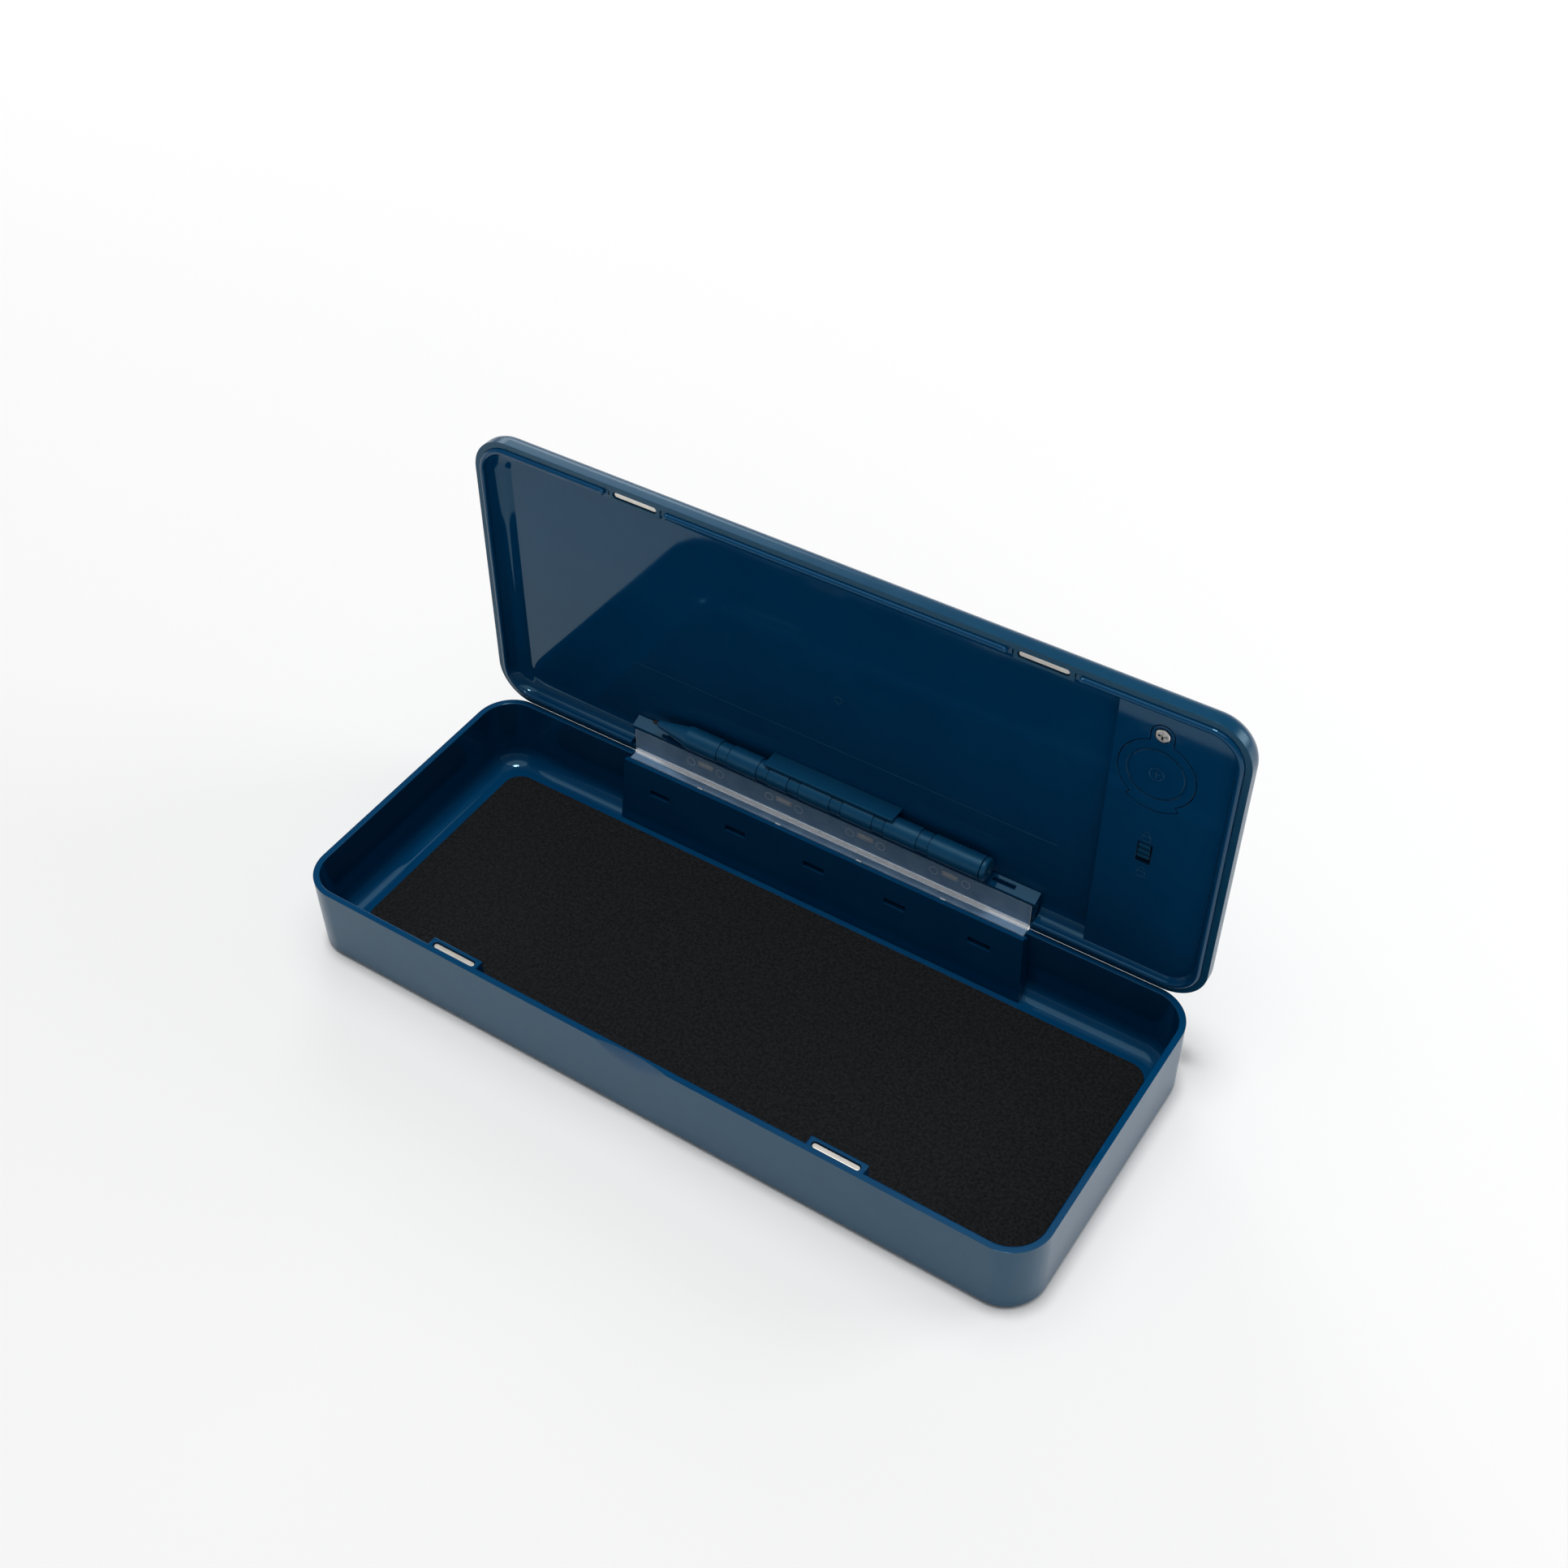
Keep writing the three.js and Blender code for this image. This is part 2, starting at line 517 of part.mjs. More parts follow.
function lidInnerPanel() {
  const halfBlock = BLOCK_LENGTH / 2 + GAP;
  const blockReach = HINGE_BLOCK.lidHeight + HINGE_BLOCK.lidSlope + GAP;
  const blockRoom = box([-halfBlock, halfBlock], [-blockReach, OVER], [-2 * LID_DEPTH, PANEL_DEPTH]);
  const bosses = [-MAGNET.offset, MAGNET.offset];
  const bossRooms = bosses.map((x) => lidMagnetBoss(x, GAP, [-LID_DEPTH, LID_DEPTH]));
  const slot = box(
    [SWITCH_X - SWITCH.slotWidth / 2, SWITCH_X + SWITCH.slotWidth / 2],
    [-SWITCH.fromFold - SWITCH.slotLength / 2, -SWITCH.fromFold + SWITCH.slotLength / 2],
    [-OVER, LID_DEPTH],
  );
  const door = doorOutline(GAP, -OVER, BAY_DEPTH + BAY.thickness + OVER);
  const body = cut(panelBlank(), [blockRoom, ...bossRooms, slot, door]);
  const doorRoom = doorOutline(GAP, -OVER, BAY_DEPTH + DOOR.thickness + GAP);
  const panel = joined([body, screwBoss(), stylusClip(), ...boardPosts()]);
  return cut(panel, [doorRoom, screwRoom()]);
}

function saddleRib(x) {
  const from = x + 0.5;
  const to = x + STYLUS.neck - 0.5;
  const reach = STYLUS_FROM_FOLD - 0.55 * NECK_RADIUS;
  return box([from, to], [-reach, -HINGE_BLOCK.lidHeight + 0.5], [0, PANEL_DEPTH - GAP]);
}

function snapHook(x) {
  const halfLength = SNAP_WINDOW.length / 2 - GAP;
  const halfHeight = SNAP_WINDOW.height / 2 - GAP;
  return box(
    [x - halfLength, x + halfLength],
    [-SNAP_WINDOW.fromFold - halfHeight, -SNAP_WINDOW.fromFold + halfHeight],
    [0.2, STRIP.thickness + GAP + 0.2],
  );
}

// The rib that clamps the upper flap, carries the stylus saddles and backs the snap hooks.
function lidHingeBlock() {
  const half = BLOCK_LENGTH / 2;
  const seat = STRIP.thickness + GAP;
  const back = PANEL_DEPTH - GAP;
  const top = HINGE_BLOCK.lidHeight;
  const section = [
    [-WALL - GAP, seat],
    [-WALL - GAP, back],
    [-top - HINGE_BLOCK.lidSlope, back],
    [-top, 0],
    [-top + HINGE_BLOCK.lip, 0],
    [-top + HINGE_BLOCK.lip, seat],
  ];
  const bar = barAlongX(section.reverse(), -half, half);
  const ribs = STYLUS_NECKS.map(saddleRib);
  const necks = alongStylus(-half, half, NECK_RADIUS + GAP);
  const hooks = evenly(SNAP_WINDOW.count, SNAP_WINDOW.pitch).map(snapHook);
  const releaseSlot = box(
    [RELEASE_SLOT.left, RELEASE_SLOT.right],
    [-top - HINGE_BLOCK.lidSlope - OVER, -top + 0.4],
    [RELEASE_SLOT.near, RELEASE_SLOT.far],
  );
  return cut(joined([bar, ...ribs, ...hooks]), [necks, releaseSlot]);
}

function hingeStripUpper() {
  const half = STRIP.length / 2;
  const reach = HINGE_BLOCK.lidHeight - HINGE_BLOCK.lip - GAP;
  const flap = box([-half, half], [-reach, -STRIP_INSET], [0, STRIP.thickness]);
  const windows = evenly(SNAP_WINDOW.count, SNAP_WINDOW.pitch).map((x) =>
    box(
      [x - SNAP_WINDOW.length / 2, x + SNAP_WINDOW.length / 2],
      [
        -SNAP_WINDOW.fromFold - SNAP_WINDOW.height / 2,
        -SNAP_WINDOW.fromFold + SNAP_WINDOW.height / 2,
      ],
      [-OVER, STRIP.thickness + OVER],
    ),
  );
  return cut(flap, windows);
}

// ---------------------------------------------------------------- electronics in the lid
function writingScreen() {
  return prism(screenOutline(0), SCREEN_FRONT, SCREEN_FRONT + SCREEN.thickness);
}

function screenRibbon() {
  const far = BOARD_FAR - RIBBON.margin;
  const depth = [SCREEN_FRONT, SCREEN_FRONT + CONTACT.sheet];
  return box([SCREEN_RIGHT + GAP, BOARD_LEFT + RIBBON.lap], [-far, RIBBON.width - far], depth);
}

function circuitBoard() {
  const board = box([BOARD_LEFT, BOARD_RIGHT], [-BOARD_FAR, -BOARD.near], [BOARD_DEPTH, BOARD_TOP]);
  const room = SWITCH.width / 2 + GAP;
  const length = SWITCH.length / 2 + GAP;
  return board.subtract(
    box(
      [SWITCH_X - room, SWITCH_X + room],
      [-SWITCH.fromFold - length, -SWITCH.fromFold + length],
      [0, LID_DEPTH],
    ),
  );
}

function switchHousing() {
  const bottom = BAY_DEPTH + BAY.thickness + GAP;
  return box(
    [SWITCH_X - SWITCH.width / 2, SWITCH_X + SWITCH.width / 2],
    [-SWITCH.fromFold - SWITCH.length / 2, -SWITCH.fromFold + SWITCH.length / 2],
    [bottom, bottom + SWITCH_HEIGHT],
  );
}

// The knob rests at the closed-padlock end of its slot.
function switchKnob() {
  const middle = SWITCH.fromFold + KNOB.travel / 2;
  const top = BAY_DEPTH - KNOB.proud;
  const bottom = BAY_DEPTH + BAY.thickness;
  const grip = box(
    [SWITCH_X - KNOB.width / 2, SWITCH_X + KNOB.width / 2],
    [-middle - KNOB.length / 2, -middle + KNOB.length / 2],
    [top, bottom],
  );
  const waist = box(
    [SWITCH_X - KNOB.width, SWITCH_X + KNOB.width],
    [-middle - 0.3 * KNOB.length, -middle + 0.3 * KNOB.length],
    [top - OVER, top + 0.5],
  );
  const ridge = box(
    [SWITCH_X - KNOB.width, SWITCH_X + KNOB.width],
    [-middle - 0.5, -middle + 0.5],
    [top - 2 * OVER, top + OVER],
  );
  return grip.subtract(waist.subtract(ridge));
}

function eraseDome() {
  return disc(DOME.radius, CELL_X, -BUTTON.fromFold, BOARD_TOP + GAP, DOME_TOP, 20);
}

function eraseButton() {
  const y = -BUTTON.fromFold;
  const flangeBottom = LID_FLOOR - GAP;
  const flangeTop = flangeBottom + BUTTON.flangeThickness;
  const cap = disc(BUTTON.radius, CELL_X, y, flangeBottom, LID_DEPTH + BUTTON.proud);
  const flange = disc(BUTTON.flange, CELL_X, y, flangeBottom, flangeTop);
  const plunger = disc(DOME.radius / 2, CELL_X, y, flangeBottom - BUTTON.plunger, flangeTop, 16);
  return joined([cap, flange, plunger]);
}

function coinCell() {
  const y = -CELL_FROM_FOLD;
  const top = CELL_FACE + CELL.thickness;
  const can = disc(CELL.radius, CELL_X, y, CELL_FACE, top - CELL.step, 40);
  return can.add(disc(CELL.radius - CELL.canWall, CELL_X, y, CELL_FACE + 1, top, 40));
}

// The ring round the cell, open beside the positive contact and clear of the screw's ear.
function batteryHolder() {
  const y = -CELL_FROM_FOLD;
  const top = LID_FLOOR - CONTACT.sheet - 2 * GAP;
  const ring = disc(DOOR_RADIUS + 0.2, CELL_X, y, CELL_FACE, top, 40);
  const bore = disc(CELL.radius + GAP, CELL_X, y, 0, LID_DEPTH, 40);
  const halfRoom = CONTACT.width / 2 + 1.1;
  const across = [BLADE_X - halfRoom, BLADE_X + halfRoom];
  const bladeRoom = box(across, [y, y + 2 * DOOR_RADIUS], [0, LID_DEPTH]);
  const earBottom = BAY_DEPTH + EAR.thickness + GAP;
  const earRoom = disc(EAR.radius + GAP, CELL_X, -SCREW_FROM_FOLD, 0, earBottom, 20);
  return cut(ring, [bore, bladeRoom, earRoom]);
}

function negativeContact() {
  const y = -CELL_FROM_FOLD;
  const top = LID_FLOOR - GAP;
  const bottom = top - CONTACT.sheet;
  const half = CONTACT.pad / 2;
  const pad = disc(CONTACT.pad, CELL_X, y, bottom, top, 20);
  const tailEnd = -BOARD_FAR + 4;
  const tail = box([CELL_X - half, CELL_X + half], [y, tailEnd], [bottom, top]);
  const footY = [tailEnd - CONTACT.sheet, tailEnd];
  const foot = box([CELL_X - half, CELL_X + half], footY, [BOARD_TOP + GAP, top]);
  return joined([pad, tail, foot]);
}

function positiveContact() {
  const across = [BLADE_X - CONTACT.width / 2, BLADE_X + CONTACT.width / 2];
  const reach = Math.sqrt((CELL.radius + GAP) ** 2 - (CELL_X - across[1]) ** 2);
  const blade = -CELL_FROM_FOLD + reach;
  const tailBottom = BOARD_TOP + GAP;
  const tailTop = tailBottom + CONTACT.sheet;
  const spring = box(across, [blade, blade + CONTACT.sheet], [CELL_FACE + 0.5, tailTop]);
  return spring.add(box(across, [blade, -BOARD_FAR + 3], [tailBottom, tailTop]));
}

// ---------------------------------------------------------------- battery door, screw and stylus
function batteryDoor() {
  const top = BAY_DEPTH;
  const outline = doorOutline(0, top, top + DOOR.thickness);
  const screwY = -SCREW_FROM_FOLD;
  const earPad = disc(EAR.radius, CELL_X, screwY, top, top + EAR.thickness, 20);
  const seat = disc(SCREW.headRadius + GAP, CELL_X, screwY, top - OVER, top + SCREW.headHeight, 20);
  const hole = disc(SCREW.shankRadius + GAP, CELL_X, screwY, top, top + LID_DEPTH, 16);
  const y = -CELL_FROM_FOLD;
  const halfRing = DOOR.ringWidth / 2;
  const ringOuter = disc(RING_RADIUS + halfRing, CELL_X, y, top - OVER, top + 0.25, 40);
  const ringInner = disc(RING_RADIUS - halfRing, CELL_X, y, top - 2 * OVER, top + 1, 40);
  return cut(outline.add(earPad), [seat, hole, ringOuter.subtract(ringInner)]);
}

function doorScrew() {
  const y = -SCREW_FROM_FOLD;
  const headBottom = BAY_DEPTH + SCREW.headHeight - GAP;
  const headTop = headBottom - SCREW.headHeight;
  const head = disc(SCREW.headRadius, CELL_X, y, headTop, headBottom, 24);
  const shank = disc(SCREW.shankRadius, CELL_X, y, headBottom - 0.2, headTop + SCREW.shank, 16);
  const arms = [
    [1.2, 0.28],
    [0.28, 1.2],
  ];
  const recess = arms.map(([x, half]) =>
    box([CELL_X - x, CELL_X + x], [y - half, y + half], [headTop - OVER, headTop + 0.45]),
  );
  return cut(head.add(shank), recess);
}

function stylusBarrel() {
  const end = STYLUS.end - STYLUS_PLUG - GAP;
  const tip = STYLUS.tip + NIB.proud;
  const shoulder = STYLUS.tip + STYLUS_CONE.length;
  const profile = [
    [tip, 0],
    [tip, STYLUS_CONE.tipRadius],
    [shoulder, STYLUS.radius - STYLUS_CONE.shoulder],
    [shoulder + STYLUS_CONE.round, STYLUS.radius],
  ];
  for (const neck of STYLUS_NECKS) {
    profile.push(
      [neck, STYLUS.radius],
      [neck, NECK_RADIUS],
      [neck + STYLUS.neck, NECK_RADIUS],
      [neck + STYLUS.neck, STYLUS.radius],
    );
  }
  profile.push([end, STYLUS.radius], [end, 0]);
  const nibRoom = alongStylus(tip - OVER, tip + NIB.length, NIB.radius + GAP, 12);
  const bore = alongStylus(shoulder + 3, end + OVER, BORE_RADIUS);
  return cut(turnedOnStylus(profile), [nibRoom, bore]);
}

function stylusNib() {
  const tip = STYLUS.tip;
  const end = tip + NIB.proud + NIB.length - GAP;
  const profile = [[tip, 0], [tip + 0.15, 0.4], [tip + 0.6, NIB.radius], [end, NIB.radius], [end, 0]];
  return turnedOnStylus(profile, 16);
}

function stylusEndPlug() {
  const face = STYLUS.end - STYLUS_PLUG;
  const radius = BORE_RADIUS - GAP;
  return turnedOnStylus([
    [face - 6, 0],
    [face - 6, radius],
    [face, radius],
    [face, STYLUS.radius],
    [STYLUS.end - 0.5, STYLUS.radius],
    [STYLUS.end, STYLUS.radius - 0.6],
    [STYLUS.end, 0],
  ]);
}

// ---------------------------------------------------------------- assembly
function buildLid() {
  const group = new THREE.Group();
  group.add(
    piece('lid_shell', lidShell(), navyPlastic),
    piece('lid_inner_panel', lidInnerPanel(), glossPlastic),
    piece('lid_magnet_left', lidMagnet(-MAGNET.offset), nickel),
    piece('lid_magnet_right', lidMagnet(MAGNET.offset), nickel),
    piece('lid_hinge_block', lidHingeBlock(), navyPlastic),
    piece('hinge_strip_upper', hingeStripUpper(), clearPlastic),
    piece('writing_screen', writingScreen(), screenFilm),
    piece('screen_ribbon', screenRibbon(), blackPlastic),
    piece('circuit_board', circuitBoard(), boardGreen),
    piece('lock_switch_housing', switchHousing(), blackPlastic),
    piece('lock_switch_knob', switchKnob(), navyPlastic),
    piece('erase_dome', eraseDome(), nickel),
    piece('erase_button', eraseButton(), navyPlastic),
    piece('coin_cell', coinCell(), nickel),
    piece('battery_holder', batteryHolder(), blackPlastic),
    piece('battery_contact_negative', negativeContact(), nickel),
    piece('battery_contact_positive', positiveContact(), nickel),
    piece('battery_door', batteryDoor(), glossPlastic),
    piece('battery_door_screw', doorScrew(), nickel),
    piece('stylus_barrel', stylusBarrel(), navyPlastic),
    piece('stylus_nib', stylusNib(), blackPlastic),
    piece('stylus_end_plug', stylusEndPlug(), navyPlastic),
  );
  group.position.z = GAP / 2;
  return group;
}

const lidHinge = new THREE.Group();
lidHinge.add(buildLid());
lidHinge.position.set(0, BACK, HINGE_HEIGHT);
lidHinge.rotation.x = -THREE.MathUtils.degToRad(LID_OPEN_DEGREES);

const pencilCase = new THREE.Group();
pencilCase.add(buildBase(), lidHinge);

export default pencilCase;
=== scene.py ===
"""The looks of a hinged pencil case whose lid carries a writing tablet, a coin cell and a stylus.

Sizes in the classes are millimetres. A lid piece is worked out with the lid shut: X runs along the
case, Y = 0 is the fold with -Y towards the front, and Z is the depth above the lid's rim plane.
"""

import json
import logging
import math
from dataclasses import dataclass, field
from enum import Enum

import bpy
import numpy as np
from mathutils import Matrix, Vector

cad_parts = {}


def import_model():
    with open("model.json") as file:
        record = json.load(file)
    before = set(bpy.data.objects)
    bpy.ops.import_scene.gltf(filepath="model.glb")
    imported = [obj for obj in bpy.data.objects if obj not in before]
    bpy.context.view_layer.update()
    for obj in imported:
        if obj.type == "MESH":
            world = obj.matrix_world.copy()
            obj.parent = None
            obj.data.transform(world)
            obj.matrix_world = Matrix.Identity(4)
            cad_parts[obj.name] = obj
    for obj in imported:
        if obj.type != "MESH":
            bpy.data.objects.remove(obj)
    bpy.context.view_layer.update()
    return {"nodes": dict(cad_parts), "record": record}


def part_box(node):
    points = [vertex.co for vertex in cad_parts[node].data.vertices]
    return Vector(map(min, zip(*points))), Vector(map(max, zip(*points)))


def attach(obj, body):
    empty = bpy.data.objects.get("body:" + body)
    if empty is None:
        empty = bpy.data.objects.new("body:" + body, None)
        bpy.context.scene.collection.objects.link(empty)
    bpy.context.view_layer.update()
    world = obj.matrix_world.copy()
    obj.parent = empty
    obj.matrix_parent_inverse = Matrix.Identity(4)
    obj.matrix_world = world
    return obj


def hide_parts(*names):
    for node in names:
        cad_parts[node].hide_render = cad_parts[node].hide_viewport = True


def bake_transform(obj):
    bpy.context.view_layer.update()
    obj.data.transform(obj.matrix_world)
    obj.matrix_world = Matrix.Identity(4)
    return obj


LOG = logging.getLogger("pencil_case")
MM = 0.001
ROUND_STEPS = 5  # faces across the small rounding of an edge
OUTLINE_STEPS = 20  # steps in each corner of the case's outline
HAIR = 1e-3  # keeps the two corners of a round end apart
SHARP_ANGLE = math.radians(38)
COOL = "#b4ecff"  # the pigment cools a head-on reflection


class Side(Enum):
    """The end of the case that a paired piece belongs to."""

    LEFT = -1
    RIGHT = 1


class Step(Enum):
    """What a second surface does to the piece it meets."""

    ADD = "UNION"
    CUT = "DIFFERENCE"


# ------------------------------------------------------------------ surfaces
@dataclass
class Surface:
    """A closed surface in millimetres.

    Attributes:
        points: one row of X, Y, Z for each point.
        faces: the points of each face, anticlockwise seen from outside.
    """

    points: np.ndarray
    faces: list[list[int]]

    def moved(self, x: float = 0.0, y: float = 0.0, z: float = 0.0) -> "Surface":
        """The same surface, shifted."""
        return Surface(self.points + np.array([x, y, z]), self.faces)

    def with_others(self, *others: "Surface") -> "Surface":
        """This surface and others as one list of points and faces."""
        points, faces = [self.points], list(self.faces)
        start = len(self.points)
        for other in others:
            points.append(other.points)
            faces += [[start + i for i in face] for face in other.faces]
            start += len(other.points)
        return Surface(np.vstack(points), faces)


def stack(rings: np.ndarray) -> Surface:
    """Skins a stack of closed rings and closes both ends.

    Ring i point j joins ring i + 1 point j, and the first and last rings are filled in.

    Args:
        rings: an array of rings by points by 3, each ring anticlockwise seen from the last one.

    Returns:
        The closed surface.
    """
    count, around = rings.shape[:2]
    index = np.arange(count * around).reshape(count, around)
    low, high = index[:-1], index[1:]
    quads = np.stack([low, np.roll(low, -1, 1), np.roll(high, -1, 1), high], -1)
    faces = quads.reshape(-1, 4).tolist()
    faces += [index[0, ::-1].tolist(), index[-1].tolist()]
    return Surface(rings.reshape(-1, 3), faces)


def rounded_ring(length: np.ndarray, width: np.ndarray, radius: np.ndarray, steps: int) -> np.ndarray:
    """Rings round rectangles with round corners.

    Each corner is a quarter circle of the radius about a centre set in by the radius.

    Args:
        length: the rectangles' sizes along X, one for each ring.
        width: their sizes along Y.
        radius: their corner radii.
        steps: steps in each quarter circle.

    Returns:
        An array of rings by points by 2.
    """
    turn = np.linspace(0, np.pi / 2, steps + 1)
    corners = []
    for quarter, (sx, sy) in enumerate([(1, -1), (1, 1), (-1, 1), (-1, -1)]):
        angle = turn + (quarter - 1) * np.pi / 2
        x = sx * (length / 2 - radius)[:, None] + radius[:, None] * np.cos(angle)
        y = sy * (width / 2 - radius)[:, None] + radius[:, None] * np.sin(angle)
        corners.append(np.stack([x, y], -1))
    return np.concatenate(corners, 1)


def swept(
    profile: np.ndarray,
    length: float,
    width: float,
    radius: float,
    steps: int = 16,
    ends: np.ndarray | None = None,
) -> Surface:
    """Carries a profile round a rectangle with round corners.

    A profile point (inset, z) becomes the ring set in by that much at height z, and the corner
    radius shrinks by the inset, down to a tenth of a millimetre.

    Args:
        profile: rows of inset and height, from the middle of one face to the middle of the other.
        length: the outline's size along X.
        width: the outline's size along Y.
        radius: its corner radius.
        steps: steps in each corner.
        ends: the insets at the two ends along X, where they differ from those along the sides.

    Returns:
        The closed surface, centred on X = Y = 0.
    """
    inset, height = profile[:, 0], profile[:, 1]
    across = inset if ends is None else ends
    flat = rounded_ring(length - 2 * across, width - 2 * inset, np.maximum(radius - inset, 0.1), steps)
    z = np.broadcast_to(height[:, None, None], (*flat.shape[:2], 1))
    return stack(np.concatenate([flat, z], -1))


def arc(
    middle: tuple[float, float], radii: tuple[float, float], start: float, end: float, steps: int
) -> np.ndarray:
    """Points on an ellipse, middle plus each radius times the cosine and sine of the angle.

    Args:
        middle: the centre.
        radii: the radii along the first and second axis.
        start: the first angle in degrees.
        end: the last angle in degrees.
        steps: the number of steps.

    Returns:
        Rows of two coordinates.
    """
    angle = np.radians(np.linspace(start, end, steps + 1))
    return np.array(middle) + np.array(radii) * np.stack([np.cos(angle), np.sin(angle)], -1)


def slab(
    length: float, width: float, radius: float, low: float, high: float, edge: float, steps: int = 16
) -> Surface:
    """A plate with round corners and edges: its profile is a quarter circle at each face's edge.

    Args:
        length: size along X.
        width: size along Y.
        radius: corner radius in plan.
        low: height of the lower face.
        high: height of the upper face.
        edge: radius of the rounding at both faces.
        steps: steps in each corner.

    Returns:
        The closed surface, centred on X = Y = 0.
    """
    lower = arc((edge, low + edge), (edge, edge), 270, 180, ROUND_STEPS)
    upper = arc((edge, high - edge), (edge, edge), 180, 90, ROUND_STEPS)
    return swept(np.vstack([lower, upper]), length, width, radius, steps)


def block(
    x: tuple[float, float], y: tuple[float, float], z: tuple[float, float], edge: float = 0.0
) -> Surface:
    """A bar between two corners, its edges rounded where an edge radius is given.

    Args:
        x: lowest and highest X.
        y: lowest and highest Y.
        z: lowest and highest Z.
        edge: radius of the rounding.

    Returns:
        The closed surface.
    """
    size = (x[1] - x[0], y[1] - y[0])
    middle = ((x[0] + x[1]) / 2, (y[0] + y[1]) / 2)
    if edge:
        body = slab(*size, edge, *z, edge, 4)
    else:
        body = swept(np.array([[0.0, z[0]], [0.0, z[1]]]), *size, 0.01, 1)
    return body.moved(*middle)


def disc(radius: float, x: float, y: float, low: float, high: float, edge: float = 0.0) -> Surface:
    """A round plate standing along Z, made as a rounded square whose corners meet.

    Args:
        radius: its radius.
        x: its middle.
        y: its middle.
        low: height of the lower face.
        high: height of the upper face.
        edge: radius of the rounding at both faces.

    Returns:
        The closed surface.
    """
    side = 2 * radius
    if edge:
        return slab(side, side, radius - HAIR, low, high, edge, 20).moved(x, y)
    profile = np.array([[0.0, low], [0.0, high]])
    return swept(profile, side, side, radius - HAIR, 20).moved(x, y)


def turned(profile: np.ndarray, segments: int = 64) -> Surface:
    """Turns a profile round the X axis: a row (x, r) becomes a ring of radius r at x.

    Args:
        profile: rows of X and radius, from one end to the other, with no radius at zero.
        segments: points round each ring.

    Returns:
        The closed surface.
    """
    angle = np.linspace(0, 2 * np.pi, segments, endpoint=False)
    x = np.broadcast_to(profile[:, 0, None], (len(profile), segments))
    y = profile[:, 1, None] * np.cos(angle)
    z = profile[:, 1, None] * np.sin(angle)
    return stack(np.stack([x, y, z], -1))


def bead(path: np.ndarray, radius: float, height: float, closed: bool = False) -> Surface:
    """A thin round bead along a flat path, for raised outlines and moulding lines.

    Each ring is the path's point plus radius times cosine along the path's sideways direction and
    sine along Z.

    Args:
        path: rows of X and Y.
        radius: the bead's radius.
        height: Z of its middle.
        closed: whether the path returns to its start.

    Returns:
        The closed surface.
    """
    along = np.roll(path, -1, 0) - np.roll(path, 1, 0) if closed else np.gradient(path, axis=0)
    along /= np.linalg.norm(along, axis=1)[:, None]
    side = np.stack([along[:, 1], -along[:, 0]], -1)
    angle = np.linspace(0, 2 * np.pi, 10, endpoint=False)
    flat = path[:, None] + radius * side[:, None] * np.cos(angle)[:, None]
    z = np.broadcast_to((height + radius * np.sin(angle))[:, None], (*flat.shape[:2], 1))
    rings = np.concatenate([flat, z], -1)
    if not closed:
        return stack(rings)
    body = stack(np.concatenate([rings, rings[:1]]))
    count = len(rings) * len(angle)
    faces = [[i % count for i in face] for face in body.faces[:-2]]
    return Surface(body.points[:count], faces)


def circle_path(radius: float, x: float, y: float, steps: int = 40) -> np.ndarray:
    """Points round a circle, for a closed bead."""
    return arc((x, y), (radius, radius), 0, 360 - 360 / steps, steps - 1)


# ------------------------------------------------------------------ meshes and pieces
def mesh_of(name: str, surface: Surface) -> bpy.types.Mesh:
    """Puts a surface into a mesh, in millimetres.

    Args:
        name: the mesh's name.
        surface: what it holds.

    Returns:
        The mesh.
    """
    mesh = bpy.data.meshes.new(name)
    mesh.from_pydata(surface.points.tolist(), [], surface.faces)
    mesh.update()
    return mesh


def worked(name: str, blank: Surface, steps: list[tuple[Step, Surface]]) -> bpy.types.Mesh:
    """Joins other surfaces to a blank and cuts them from it, in order.

    Args:
        name: the piece's name.
        blank: the surface to start from.
        steps: what is joined or cut.

    Returns:
        The finished mesh, in millimetres.
    """
    body = bpy.data.objects.new(name, mesh_of(name, blank))
    bpy.context.collection.objects.link(body)
    tools = []
    for step, surface in steps:
        tool = bpy.data.objects.new("tool", mesh_of("tool", surface))
        bpy.context.collection.objects.link(tool)
        modifier = body.modifiers.new("work", "BOOLEAN")
        modifier.operation = step.value
        modifier.solver = "EXACT"
        modifier.object = tool
        tools.append(tool)
    graph = bpy.context.evaluated_depsgraph_get()
    mesh = bpy.data.meshes.new_from_object(body.evaluated_get(graph))
    for spent in [body, *tools]:
        bpy.data.objects.remove(spent)
    return mesh


